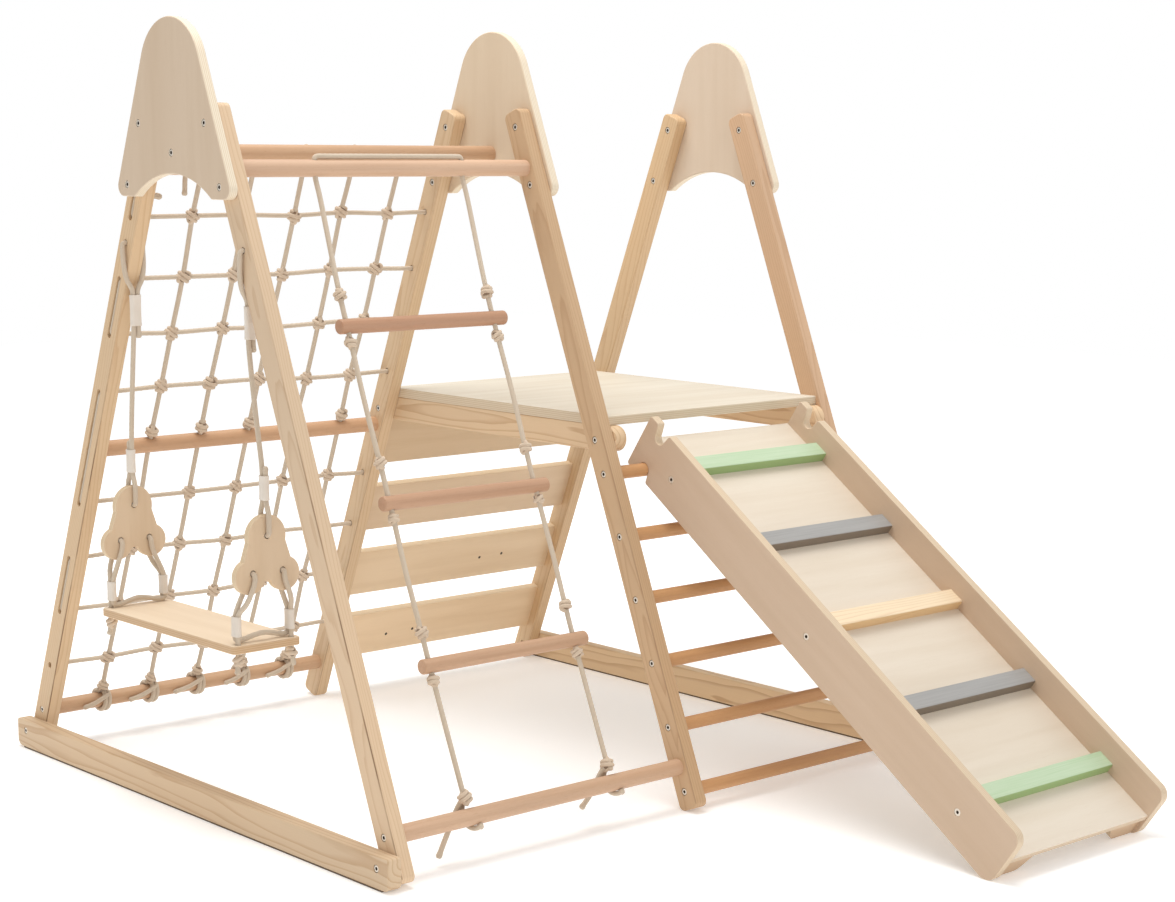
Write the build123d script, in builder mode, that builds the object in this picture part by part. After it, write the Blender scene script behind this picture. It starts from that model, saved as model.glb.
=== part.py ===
from build123d import *
import os
from math import asin, atan2, cos, hypot, radians, sin, tan

# Indoor wooden climbing frame for small children: three A-frames in a row.
# The left bay holds a rope net, a rope ladder and, under the left A-frame, a swing.
# The right bay holds a deck, front rungs, back slats and a climbing ramp that hooks on a rung.
# Millimetres. X runs from the left frame to the right frame, -Y is the front and +Z is up.
# The origin is the middle of the left foot rail's underside.

os.makedirs("parts", exist_ok=True)

# ---------------------------------------------------------------- driving dimensions
LEG_WIDTH = 46.0
TIMBER = 28.0
PLY = 18.0
DOWEL_D = 30.0
RUNG_D = 25.0
EDGE_R = 2.5

# The legs lean in a plane: |y| = HALF_SPREAD - z * tan(LEAN) is a leg's axis at height z.
LEAN = 22.0
HALF_SPREAD = 597.7
LEG_TOP_Z = 1248.0
LEG_CORNER_R = 12.0

NET_BAY = 632.0
DECK_BAY = 566.0
LEFT_X = TIMBER / 2
MIDDLE_X = LEFT_X + TIMBER + NET_BAY
RIGHT_X = MIDDLE_X + TIMBER + DECK_BAY
MIDDLE_FACE = MIDDLE_X + TIMBER
RIGHT_FACE = RIGHT_X + TIMBER

# Rope, and the holes it passes through
ROPE_D = 8.5
STRAIGHT_HOLE_D = ROPE_D + 2.0
BEND_HOLE_D = 12.0
BEND_R = ROPE_D
GAP = 0.5
KNOT_R = 13.0

# Foot rails
RAIL_LENGTH = 1230.0
RAIL_TOP_Z = 58.0
PAD_THICK = 3.0
PAD_SIZE = (24.0, 1190.0)
RAIL_BOLT_Z = 37.0
RAIL_BOTTOM_R = 14.0
RAIL_TOP_R = 6.0

# Peak plates
PEAK_ARC_R = 96.6
PEAK_ARC_Z = 1301.0
PEAK_SIDE = 630.0
PEAK_BOTTOM_Z = 1092.0
PEAK_CORNER_R = 18.0
ARCH_R = 206.0
ARCH_TOP_Z = 1133.0
ARCH_LIP_R = 8.0
PEAK_BOLTS = [(105.5, 1219.0), (148.5, 1113.0)]
PEAK_HOLE_DEPTH = 14.0

# Dowels of the left bay
TOP_DOWEL_Z = 1144.0
RIDGE_Z = 1169.0
MIDDLE_NET_Z = 618.5
BOTTOM_Z = 79.0

# Deck bay
FIRST_RUNG_Z = 591.0
RUNG_PITCH = 111.0
RUNG_COUNT = 6
DECK_DEPTH = 672.0
DECK_BOTTOM_Z = 676.0
BEAM_HEIGHT = 48.0
BEAM_LENGTH = 724.0
SLAT_WIDTH = 106.0
SLAT_TOP_Z = 578.0
SLAT_PITCH = 150.0
SLAT_COUNT = 4
SLAT_OFFSET = 8.0
PIN_D = 8.0
PIN_LENGTH = 30.0
PIN_OFFSET = 10.0
PIN_SPREAD = 30.0

# Ramp: u runs down the panel from its tip, w is square to the panel and points up
RAMP_LENGTH = 1075.0
RAMP_WIDTH = 420.0
PANEL_WIDTH = 114.0
NOTCH_U = 42.5
NOTCH_W = 38.3
NOTCH_R = 13.0
NOTCH_MOUTH = (24.0, 60.0)
PANEL_TOP_R = 22.0
PANEL_FOOT_R = 25.0
BOARD_THICK = 10.0
BOARD_LENGTH = 1072.0
BAR_SIZE = (35.0, 19.0)
BAR_FIRST_U = 98.0
BAR_PITCH = 212.3
BAR_COUNT = 5
FOOT_U = 1066.0
FOOT_DROP = 50.0
FOOT_LOBE = 50.0
FOOT_OGEE = 48.0
FOOT_ARCH_W = 18.0
RAMP_BOLT_U = [110.0, 531.0, 955.0]

# Bolts
HEAD_D = 13.0
HEAD_THICK = 3.0
HEAD_SINK = 0.8
HEAD_ROUND = 1.4
SHANK_D = 6.0
SOCKET_R = 3.3
SOCKET_DEPTH = 2.0
BORE_GAP = 0.4
DOWEL_BITE = 30.0

# Rope ladder, in the plane of the front legs
LADDER_RUNG_D = 26.0
LADDER_RUNG_X = (169.0, 534.0)
LADDER_RUNG_Z = [878.0, 586.0, 322.0]
LADDER_TOP_X = (198.0, 522.0)
LADDER_HOLE_X = (186.0, 508.0)

# Net, in the plane of the back legs
NET_COLUMNS = [144.0, 254.0, 364.0, 474.0, 584.0]
NET_ROWS = [1055.0, 943.0, 840.0, 731.0, 513.0, 400.0, 291.0, 176.0]
NET_START_Z = 1094.0
GROOVE_DEPTH = 10.5
GROOVE_ROPE = 5.25

# Swing, hung under the left frame
SWING_X = LEFT_X + TIMBER / 2
HANGER_Z = 1009.0
HANGER_Y = 186.0
SEAT_TOP_Z = 345.0
SEAT_SIZE = (138.0, 440.0, 15.0)
SEAT_HOLE = (54.0, 211.4)
SIDE_PLATE_Y = 218.0
SIDE_PLATE_THICK = 14.0
SIDE_HOLE_Z = 530.0
LOBE_HOLE = (30.0, 467.0)
SLEEVE = (22.0, 13.0)


# ---------------------------------------------------------------- shared geometry
def leg_y(z):
    """Distance of a leg's axis from the middle plane at height z."""
    return HALF_SPREAD - z * tan(radians(LEAN))


def on_leg(side, z, offset=0.0):
    """(y, z) on a leg's axis at height z, moved out from the leg's plane by offset."""
    return (side * (leg_y(z) + offset * cos(radians(LEAN))), z + offset * sin(radians(LEAN)))


# A leg's inner bottom corner is round, and that round touches the floor.
LEG_FOOT_Z = LEG_CORNER_R - (LEG_CORNER_R * cos(radians(LEAN))
                             - (LEG_WIDTH / 2 - LEG_CORNER_R) * sin(radians(LEAN)))
LEG_LENGTH = (LEG_TOP_Z - LEG_FOOT_Z) / cos(radians(LEAN))
LEG_MID_Z = (LEG_TOP_Z + LEG_FOOT_Z) / 2

RUNG_Z = [FIRST_RUNG_Z - RUNG_PITCH * i for i in range(RUNG_COUNT)]
SLAT_Z = [SLAT_TOP_Z - SLAT_PITCH * i for i in range(SLAT_COUNT)]
BEAM_Z = DECK_BOTTOM_Z - BEAM_HEIGHT / 2
BAY_DOWELS = {
    "front_top_dowel": on_leg(-1, TOP_DOWEL_Z),
    "back_top_dowel": on_leg(1, TOP_DOWEL_Z),
    "middle_net_dowel": on_leg(1, MIDDLE_NET_Z),
    "bottom_net_dowel": on_leg(1, BOTTOM_Z),
    "bottom_ladder_dowel": on_leg(-1, BOTTOM_Z),
}
PLATE_POINTS = [(side * y, z) for side in (-1, 1) for y, z in PEAK_BOLTS]
BEAM_POINTS = [on_leg(-1, BEAM_Z), on_leg(1, BEAM_Z)]
RAIL_POINTS = [on_leg(-1, RAIL_BOLT_Z), on_leg(1, RAIL_BOLT_Z)]
RUNG_POINTS = [on_leg(-1, z) for z in RUNG_Z]

# The ramp's slope, from the rung that it hangs on to its rounded foot on the floor
REACH_U = RAMP_LENGTH - PANEL_FOOT_R - NOTCH_U
REACH_W = NOTCH_W - (PANEL_WIDTH / 2 - PANEL_FOOT_R)
SLOPE = asin((FIRST_RUNG_Z - PANEL_FOOT_R) / hypot(REACH_U, REACH_W)) + atan2(REACH_W, REACH_U)
RAMP_X = MIDDLE_FACE + (DECK_BAY - RAMP_WIDTH) / 2
RAMP_INNER = RAMP_WIDTH - 2 * PLY
TIP_Y = -leg_y(FIRST_RUNG_Z) + NOTCH_U * cos(SLOPE) - NOTCH_W * sin(SLOPE)
TIP_Z = FIRST_RUNG_Z + NOTCH_U * sin(SLOPE) + NOTCH_W * cos(SLOPE)


def ramp_plane(x):
    """Plane whose local (x, y) is the ramp's (u, w); its normal is -X."""
    return Plane(origin=(x, TIP_Y, TIP_Z), x_dir=(0, -cos(SLOPE), -sin(SLOPE)), z_dir=(-1, 0, 0))


def arc_radii(points, tight):
    """One radius for each corner: as large as its two runs allow, or the value in tight."""
    corners = [Vector(*p) for p in points]
    radii = []
    for i in range(1, len(corners) - 1):
        before = corners[i] - corners[i - 1]
        after = corners[i + 1] - corners[i]
        half_turn = radians(before.get_angle(after) / 2)
        radii.append(tight.get(i, 0.45 * min(before.length, after.length) / tan(half_turn)))
    return radii


def rope_tube(label, points, tight=None):
    """A rope's solid: straight runs joined by tangent arcs."""
    radii = arc_radii(points, tight or {})
    with BuildPart() as tube:
        with BuildLine() as route:
            if radii:
                FilletPolyline(*points, radius=radii)
            else:
                Line(*points)
        path = route.wires()[0]
        with BuildSketch(Plane(path @ 0, z_dir=path % 0)) as section:
            Circle(ROPE_D / 2)
        sweep(path=path)
    ratio = tube.part.volume / (section.sketch.area * path.length)
    print(f"{label}: length {path.length:.0f}, radii {[round(r) for r in radii]}, volume ratio {ratio:.3f}")
    return tube.part


def drill(points, x_start, depth, diameter):
    """Cut round holes along +X into the part being built."""
    with BuildSketch(Plane.YZ.offset(x_start)) as holes:
        with Locations(*points):
            Circle(diameter / 2)
    extrude(holes.sketch, amount=depth, mode=Mode.SUBTRACT)


def bolt_seats(points, x_face, into, through):
    """Counterbores on the face at x_face, and clearance holes through the piece."""
    sink = HEAD_THICK + HEAD_SINK + BORE_GAP
    drill(points, min(x_face, x_face + into * sink), sink, HEAD_D + 2 * BORE_GAP)
    drill(points, min(x_face, x_face + into * through), through, SHANK_D + BORE_GAP)


def make_bolt(x_face, into, point, length):
    """Socket-head bolt, its head sunk a little below the face at x_face."""
    seat = Plane(origin=(x_face, point[0], point[1]), x_dir=(0, 1, 0), z_dir=(into, 0, 0))
    with BuildPart() as bolt:
        with BuildSketch(seat.offset(HEAD_SINK)):
            Circle(HEAD_D / 2)
        extrude(amount=HEAD_THICK)
        fillet(bolt.edges().sort_by(Axis.X)[0 if into > 0 else -1], HEAD_ROUND)
        with BuildSketch(seat.offset(HEAD_SINK + HEAD_THICK)):
            Circle(SHANK_D / 2)
        extrude(amount=length - HEAD_SINK - HEAD_THICK)
        with BuildSketch(seat.offset(HEAD_SINK)):
            RegularPolygon(SOCKET_R, 6)
        extrude(amount=SOCKET_DEPTH, mode=Mode.SUBTRACT)
    return bolt.part


def groove(x_start, z_high, z_low):
    """Rope groove along a back leg's axis between two rope holes."""
    high = on_leg(1, z_high)
    low = on_leg(1, z_low)
    with BuildSketch(Plane.YZ.offset(x_start)) as slot:
        with Locations(((high[0] + low[0]) / 2, (high[1] + low[1]) / 2)):
            SlotCenterToCenter(hypot(high[0] - low[0], high[1] - low[1]), BEND_HOLE_D, rotation=90 + LEAN)
    extrude(slot.sketch, amount=GROOVE_DEPTH, mode=Mode.SUBTRACT)


# ---------------------------------------------------------------- A-frames
def leg_blank(x, side):
    """A leg before drilling: a bar with round corners, its broad faces square to X."""
    with BuildPart() as blank:
        with BuildSketch(Plane.YZ.offset(x)) as outline:
            with Locations((side * leg_y(LEG_MID_Z), LEG_MID_Z)):
                Rectangle(LEG_WIDTH, LEG_LENGTH, rotation=side * LEAN)
            fillet(outline.vertices(), LEG_CORNER_R)
        extrude(amount=TIMBER)
        fillet(blank.faces().filter_by(Axis.X).edges(), EDGE_R)
    return blank.part


FRONT_DOWELS = [BAY_DOWELS["front_top_dowel"], BAY_DOWELS["bottom_ladder_dowel"]]
BACK_DOWELS = [BAY_DOWELS[n] for n in ("back_top_dowel", "middle_net_dowel", "bottom_net_dowel")]
NET_HOLES = [on_leg(1, z) for z in NET_ROWS]
PIN_POINTS = []
for slat_z in SLAT_Z:
    for step in (-PIN_SPREAD, PIN_SPREAD):
        PIN_POINTS.append(on_leg(1, slat_z + step * cos(radians(LEAN)), PIN_OFFSET))

with BuildPart() as left_front_leg:
    add(leg_blank(LEFT_X, -1))
    bolt_seats(FRONT_DOWELS, LEFT_X, 1, TIMBER)
    drill(PLATE_POINTS[:2], LEFT_X, TIMBER, SHANK_D + BORE_GAP)
    drill(RAIL_POINTS[:1], LEFT_X, TIMBER, SHANK_D + BORE_GAP)
    drill([on_leg(-1, HANGER_Z)], LEFT_X, TIMBER, BEND_HOLE_D)
left_front_leg.part.label = "left_front_leg"
export_step(left_front_leg.part, "parts/left_front_leg.step")

with BuildPart() as left_back_leg:
    add(leg_blank(LEFT_X, 1))
    bolt_seats([BACK_DOWELS[0], BACK_DOWELS[2]], LEFT_X, 1, TIMBER)
    bolt_seats([BACK_DOWELS[1]], LEFT_X + GROOVE_DEPTH, 1, TIMBER - GROOVE_DEPTH)
    drill([BACK_DOWELS[1]], LEFT_X, GROOVE_DEPTH, HEAD_D + 2 * BORE_GAP)
    drill(PLATE_POINTS[2:], LEFT_X, TIMBER, SHANK_D + BORE_GAP)
    drill(RAIL_POINTS[1:], LEFT_X, TIMBER, SHANK_D + BORE_GAP)
    drill([on_leg(1, HANGER_Z)], LEFT_X, TIMBER, BEND_HOLE_D)
    drill(NET_HOLES + [on_leg(1, NET_START_Z)], LEFT_X, TIMBER, BEND_HOLE_D)
    groove(LEFT_X, NET_START_Z, NET_ROWS[0])
    for upper in (1, 3, 5):
        groove(LEFT_X, NET_ROWS[upper], NET_ROWS[upper + 1])
left_back_leg.part.label = "left_back_leg"
export_step(left_back_leg.part, "parts/left_back_leg.step")

with BuildPart() as middle_front_leg:
    add(leg_blank(MIDDLE_X, -1))
    bolt_seats(PLATE_POINTS[:2] + BEAM_POINTS[:1] + RUNG_POINTS, MIDDLE_X, 1, TIMBER)
    bolt_seats(FRONT_DOWELS, MIDDLE_FACE, -1, TIMBER)
middle_front_leg.part.label = "middle_front_leg"
export_step(middle_front_leg.part, "parts/middle_front_leg.step")

with BuildPart() as middle_back_leg:
    add(leg_blank(MIDDLE_X, 1))
    bolt_seats(PLATE_POINTS[2:] + BEAM_POINTS[1:], MIDDLE_X, 1, TIMBER)
    bolt_seats(BACK_DOWELS, MIDDLE_FACE, -1, TIMBER)
    drill(NET_HOLES, MIDDLE_X, TIMBER, BEND_HOLE_D)
    drill(PIN_POINTS, MIDDLE_FACE - PIN_LENGTH / 2 - BORE_GAP, PIN_LENGTH / 2 + BORE_GAP, PIN_D + BORE_GAP)
    for upper in (0, 2, 4, 6):
        groove(MIDDLE_FACE - GROOVE_DEPTH, NET_ROWS[upper], NET_ROWS[upper + 1])
middle_back_leg.part.label = "middle_back_leg"
export_step(middle_back_leg.part, "parts/middle_back_leg.step")

with BuildPart() as right_front_leg:
    add(leg_blank(RIGHT_X, -1))
    bolt_seats(PLATE_POINTS[:2], RIGHT_X, 1, TIMBER)
    bolt_seats(BEAM_POINTS[:1] + RUNG_POINTS[:-1], RIGHT_FACE, -1, TIMBER)
    drill(RUNG_POINTS[-1:], RIGHT_X, TIMBER, SHANK_D + BORE_GAP)
right_front_leg.part.label = "right_front_leg"
export_step(right_front_leg.part, "parts/right_front_leg.step")

with BuildPart() as right_back_leg:
    add(leg_blank(RIGHT_X, 1))
    bolt_seats(PLATE_POINTS[2:], RIGHT_X, 1, TIMBER)
    bolt_seats(BEAM_POINTS[1:], RIGHT_FACE, -1, TIMBER)
    drill(RAIL_POINTS[1:], RIGHT_X, TIMBER, SHANK_D + BORE_GAP)
    drill(PIN_POINTS, RIGHT_X, PIN_LENGTH / 2 + BORE_GAP, PIN_D + BORE_GAP)
right_back_leg.part.label = "right_back_leg"
export_step(right_back_leg.part, "parts/right_back_leg.step")


def peak_blank(x):
    """A peak plate before drilling: round top, straight sides, arched bottom."""
    tangent_y = PEAK_ARC_R * cos(radians(LEAN))
    tangent_z = PEAK_ARC_Z + PEAK_ARC_R * sin(radians(LEAN))
    bottom_y = PEAK_SIDE - PEAK_BOTTOM_Z * tan(radians(LEAN))
    with BuildPart() as blank:
        with BuildSketch(Plane.YZ.offset(x)) as outline:
            with BuildLine():
                Polyline((-bottom_y, PEAK_BOTTOM_Z), (bottom_y, PEAK_BOTTOM_Z), (tangent_y, tangent_z),
                         (-tangent_y, tangent_z), close=True)
            make_face()
            with Locations((0, PEAK_ARC_Z)):
                Circle(PEAK_ARC_R)
            fillet(outline.vertices().group_by(Axis.Y)[0], PEAK_CORNER_R)
            with Locations((0, ARCH_TOP_Z - ARCH_R)):
                Circle(ARCH_R, mode=Mode.SUBTRACT)
            lips = outline.vertices().filter_by(lambda v: abs(v.X) < ARCH_R * 0.7 and v.Y < ARCH_TOP_Z)
            fillet(lips, ARCH_LIP_R)
        extrude(amount=PLY)
        fillet(blank.faces().filter_by(Axis.X).edges(), EDGE_R)
    return blank.part


with BuildPart() as left_peak_plate:
    add(peak_blank(LEFT_X - PLY))
    bolt_seats(PLATE_POINTS + [(0, RIDGE_Z)], LEFT_X - PLY, 1, PLY)
left_peak_plate.part.label = "left_peak_plate"
export_step(left_peak_plate.part, "parts/left_peak_plate.step")

with BuildPart() as middle_peak_plate:
    add(peak_blank(MIDDLE_FACE))
    drill(PLATE_POINTS, MIDDLE_FACE, PEAK_HOLE_DEPTH, SHANK_D + BORE_GAP)
    bolt_seats([(0, RIDGE_Z)], MIDDLE_FACE + PLY, -1, PLY)
middle_peak_plate.part.label = "middle_peak_plate"
export_step(middle_peak_plate.part, "parts/middle_peak_plate.step")

with BuildPart() as right_peak_plate:
    add(peak_blank(RIGHT_FACE))
    drill(PLATE_POINTS, RIGHT_FACE, PEAK_HOLE_DEPTH, SHANK_D + BORE_GAP)
right_peak_plate.part.label = "right_peak_plate"
export_step(right_peak_plate.part, "parts/right_peak_plate.step")


def rail_blank(x):
    """A foot rail before drilling, standing on its pad."""
    height = RAIL_TOP_Z - PAD_THICK
    with BuildPart() as blank:
        with BuildSketch(Plane.YZ.offset(x)) as outline:
            with Locations((0, PAD_THICK + height / 2)):
                Rectangle(RAIL_LENGTH, height)
            fillet(outline.vertices().group_by(Axis.Y)[0], RAIL_BOTTOM_R)
            fillet(outline.vertices().group_by(Axis.Y)[-1], RAIL_TOP_R)
        extrude(amount=TIMBER)
        fillet(blank.faces().filter_by(Axis.X).edges(), EDGE_R)
    return blank.part


with BuildPart() as left_foot_rail:
    add(rail_blank(LEFT_X - TIMBER))
    bolt_seats(RAIL_POINTS, LEFT_X - TIMBER, 1, TIMBER)
left_foot_rail.part.label = "left_foot_rail"
export_step(left_foot_rail.part, "parts/left_foot_rail.step")

with BuildPart() as right_foot_rail:
    add(rail_blank(RIGHT_FACE))
    bolt_seats([RUNG_POINTS[-1], RAIL_POINTS[1]], RIGHT_FACE + TIMBER, -1, TIMBER)
right_foot_rail.part.label = "right_foot_rail"
export_step(right_foot_rail.part, "parts/right_foot_rail.step")

with BuildPart() as foot_pads:
    with BuildSketch(Plane.XY):
        with Locations((LEFT_X - TIMBER / 2, 0), (RIGHT_FACE + TIMBER / 2, 0)):
            Rectangle(*PAD_SIZE)
    extrude(amount=PAD_THICK)
foot_pads.part.label = "foot_pads"
export_step(foot_pads.part, "parts/foot_pads.step")

# ---------------------------------------------------------------- dowels and rungs


def dowel(x_start, length, point, diameter):
    """A round bar along X with a bolt hole in each end."""
    with BuildPart() as bar:
        with BuildSketch(Plane.YZ.offset(x_start)):
            with Locations(point):
                Circle(diameter / 2)
        extrude(amount=length)
        drill([point], x_start, DOWEL_BITE + 2, SHANK_D + BORE_GAP)
        drill([point], x_start + length - DOWEL_BITE - 2, DOWEL_BITE + 2, SHANK_D + BORE_GAP)
    return bar.part


def cross_holes(xs, point, diameter, tilt):
    """Holes across a dowel, tilted from the vertical about X by tilt degrees."""
    for x in xs:
        axis = Plane(origin=(x, point[0], point[1]), x_dir=(1, 0, 0),
                     z_dir=(0, sin(radians(tilt)), cos(radians(tilt))))
        with BuildSketch(axis) as hole:
            Circle(diameter / 2)
        extrude(hole.sketch, amount=DOWEL_D, both=True, mode=Mode.SUBTRACT)


with BuildPart() as front_top_dowel:
    add(dowel(LEFT_X + TIMBER, NET_BAY, BAY_DOWELS["front_top_dowel"], DOWEL_D))
    cross_holes(LADDER_TOP_X, BAY_DOWELS["front_top_dowel"], BEND_HOLE_D, 0)
front_top_dowel.part.label = "front_top_dowel"
export_step(front_top_dowel.part, "parts/front_top_dowel.step")

with BuildPart() as back_top_dowel:
    add(dowel(LEFT_X + TIMBER, NET_BAY, BAY_DOWELS["back_top_dowel"], DOWEL_D))
    cross_holes(NET_COLUMNS, BAY_DOWELS["back_top_dowel"], STRAIGHT_HOLE_D, -LEAN)
back_top_dowel.part.label = "back_top_dowel"
export_step(back_top_dowel.part, "parts/back_top_dowel.step")

with BuildPart() as middle_net_dowel:
    add(dowel(LEFT_X + TIMBER, NET_BAY, BAY_DOWELS["middle_net_dowel"], DOWEL_D))
    cross_holes(NET_COLUMNS, BAY_DOWELS["middle_net_dowel"], STRAIGHT_HOLE_D, -LEAN)
middle_net_dowel.part.label = "middle_net_dowel"
export_step(middle_net_dowel.part, "parts/middle_net_dowel.step")

for label in ("bottom_net_dowel", "bottom_ladder_dowel"):
    with BuildPart() as bottom_dowel:
        add(dowel(LEFT_X + TIMBER, NET_BAY, BAY_DOWELS[label], DOWEL_D))
    bottom_dowel.part.label = label
    export_step(bottom_dowel.part, f"parts/{label}.step")

with BuildPart() as ridge_dowel:
    add(dowel(LEFT_X, NET_BAY + 2 * TIMBER, (0, RIDGE_Z), DOWEL_D))
ridge_dowel.part.label = "ridge_dowel"
export_step(ridge_dowel.part, "parts/ridge_dowel.step")

for i, point in enumerate(RUNG_POINTS):
    with BuildPart() as front_rung:
        add(dowel(MIDDLE_FACE, DECK_BAY, point, RUNG_D))
    front_rung.part.label = f"front_rung_{i + 1}"
    export_step(front_rung.part, f"parts/front_rung_{i + 1}.step")

# ---------------------------------------------------------------- deck and slats
with BuildPart() as deck_board:
    with BuildSketch(Plane.XY.offset(DECK_BOTTOM_Z)):
        with Locations((MIDDLE_FACE + DECK_BAY / 2, 0)):
            Rectangle(DECK_BAY, DECK_DEPTH)
    extrude(amount=PLY)
    fillet(deck_board.faces().filter_by(Axis.Z).edges().filter_by(Axis.X), EDGE_R)
deck_board.part.label = "deck_board"
export_step(deck_board.part, "parts/deck_board.step")

for label, x_low in (("left_deck_beam", MIDDLE_FACE), ("right_deck_beam", RIGHT_X - TIMBER)):
    with BuildPart() as deck_beam:
        with BuildSketch(Plane.YZ.offset(x_low)):
            with Locations((0, BEAM_Z)):
                SlotOverall(BEAM_LENGTH, BEAM_HEIGHT)
        extrude(amount=TIMBER)
        fillet(deck_beam.faces().filter_by(Axis.X).edges(), EDGE_R)
        drill(BEAM_POINTS, x_low, TIMBER, SHANK_D + BORE_GAP)
    deck_beam.part.label = label
    export_step(deck_beam.part, f"parts/{label}.step")

for i, slat_z in enumerate(SLAT_Z):
    with BuildPart() as back_slat:
        with BuildSketch(Plane.YZ.offset(MIDDLE_FACE)) as section:
            with Locations(on_leg(1, slat_z, SLAT_OFFSET)):
                Rectangle(PLY, SLAT_WIDTH, rotation=LEAN)
            fillet(section.vertices(), EDGE_R)
        extrude(amount=DECK_BAY)
        pins = PIN_POINTS[2 * i:2 * i + 2]
        drill(pins, MIDDLE_FACE, PIN_LENGTH / 2 + BORE_GAP, PIN_D + BORE_GAP)
        drill(pins, RIGHT_X - PIN_LENGTH / 2 - BORE_GAP, PIN_LENGTH / 2 + BORE_GAP, PIN_D + BORE_GAP)
    back_slat.part.label = f"back_slat_{i + 1}"
    export_step(back_slat.part, f"parts/back_slat_{i + 1}.step")

with BuildPart() as slat_pins:
    for x in (MIDDLE_FACE, RIGHT_X):
        with BuildSketch(Plane.YZ.offset(x - PIN_LENGTH / 2)):
            with Locations(*PIN_POINTS):
                Circle(PIN_D / 2)
        extrude(amount=PIN_LENGTH)
slat_pins.part.label = "slat_pins"
export_step(slat_pins.part, "parts/slat_pins.step")

# ---------------------------------------------------------------- frame bolts
THROUGH = TIMBER + DOWEL_BITE
BEAM_BITE = TIMBER + 22.0
PLATE_BITE = PLY + 22.0
with BuildPart() as frame_bolts:
    for point in PLATE_POINTS:
        add(make_bolt(LEFT_X - PLY, 1, point, PLATE_BITE))
        add(make_bolt(MIDDLE_X, 1, point, PLATE_BITE))
        add(make_bolt(RIGHT_X, 1, point, PLATE_BITE))
    add(make_bolt(LEFT_X - PLY, 1, (0, RIDGE_Z), PLY + DOWEL_BITE))
    add(make_bolt(MIDDLE_FACE + PLY, -1, (0, RIDGE_Z), PLY + DOWEL_BITE))
    for label, point in BAY_DOWELS.items():
        sunk = GROOVE_DEPTH if label == "middle_net_dowel" else 0.0
        add(make_bolt(LEFT_X + sunk, 1, point, THROUGH - sunk))
        add(make_bolt(MIDDLE_FACE, -1, point, THROUGH))
    for point in RUNG_POINTS:
        add(make_bolt(MIDDLE_X, 1, point, THROUGH))
    for point in RUNG_POINTS[:-1]:
        add(make_bolt(RIGHT_FACE, -1, point, THROUGH))
    add(make_bolt(RIGHT_FACE + TIMBER, -1, RUNG_POINTS[-1], TIMBER + THROUGH))
    add(make_bolt(RIGHT_FACE + TIMBER, -1, RAIL_POINTS[1], BEAM_BITE))
    for point in BEAM_POINTS:
        add(make_bolt(MIDDLE_X, 1, point, BEAM_BITE))
        add(make_bolt(RIGHT_FACE, -1, point, BEAM_BITE))
    for point in RAIL_POINTS:
        add(make_bolt(LEFT_X - TIMBER, 1, point, BEAM_BITE))
frame_bolts.part.label = "frame_bolts"
export_step(frame_bolts.part, "parts/frame_bolts.step")

# ---------------------------------------------------------------- ramp
BOLT_W = -BOARD_THICK / 2
RAMP_SHANK_D = 5.0
for label, x_high, face_x, into in (
    ("ramp_left_panel", RAMP_X + PLY, RAMP_X, 1),
    ("ramp_right_panel", RAMP_X + RAMP_WIDTH, RAMP_X + RAMP_WIDTH, -1),
):
    with BuildPart() as ramp_panel:
        with BuildSketch(ramp_plane(x_high)) as outline:
            with Locations((RAMP_LENGTH / 2, 0)):
                Rectangle(RAMP_LENGTH, PANEL_WIDTH)
            foot_end = outline.vertices().group_by(Axis.X)[-1].sort_by(Axis.Y)
            fillet(foot_end[0], PANEL_FOOT_R)
            fillet(outline.vertices().group_by(Axis.Y)[-1].sort_by(Axis.X)[-1], PANEL_TOP_R)
            for side in (-1, 1):
                with Locations((NOTCH_U, side * NOTCH_W)):
                    Circle(NOTCH_R, mode=Mode.SUBTRACT)
                with BuildLine():
                    Polyline((NOTCH_U - NOTCH_R, side * NOTCH_W), (NOTCH_U + NOTCH_R, side * NOTCH_W),
                             (NOTCH_MOUTH[1], side * PANEL_WIDTH / 2), (NOTCH_MOUTH[0], side * PANEL_WIDTH / 2),
                             close=True)
                make_face(mode=Mode.SUBTRACT)
            mouths = outline.vertices().filter_by(
                lambda v: abs(abs(v.Y) - PANEL_WIDTH / 2) < 0.01 and v.X < NOTCH_MOUTH[1] + 1)
            fillet(mouths, 5)
        extrude(amount=PLY)
        fillet(ramp_panel.faces().filter_by(Axis.X).edges(), 1.5)
        for u in RAMP_BOLT_U:
            seat = Plane(origin=ramp_plane(face_x).from_local_coords((u, BOLT_W, 0)),
                         x_dir=(0, 1, 0), z_dir=(into, 0, 0))
            with BuildSketch(seat) as head_hole:
                Circle(HEAD_D / 2 + BORE_GAP)
            extrude(head_hole.sketch, amount=HEAD_THICK + HEAD_SINK + BORE_GAP, mode=Mode.SUBTRACT)
            with BuildSketch(seat) as shank_hole:
                Circle(RAMP_SHANK_D / 2 + BORE_GAP / 2)
            extrude(shank_hole.sketch, amount=PLY, mode=Mode.SUBTRACT)
    ramp_panel.part.label = label
    export_step(ramp_panel.part, f"parts/{label}.step")

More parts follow.
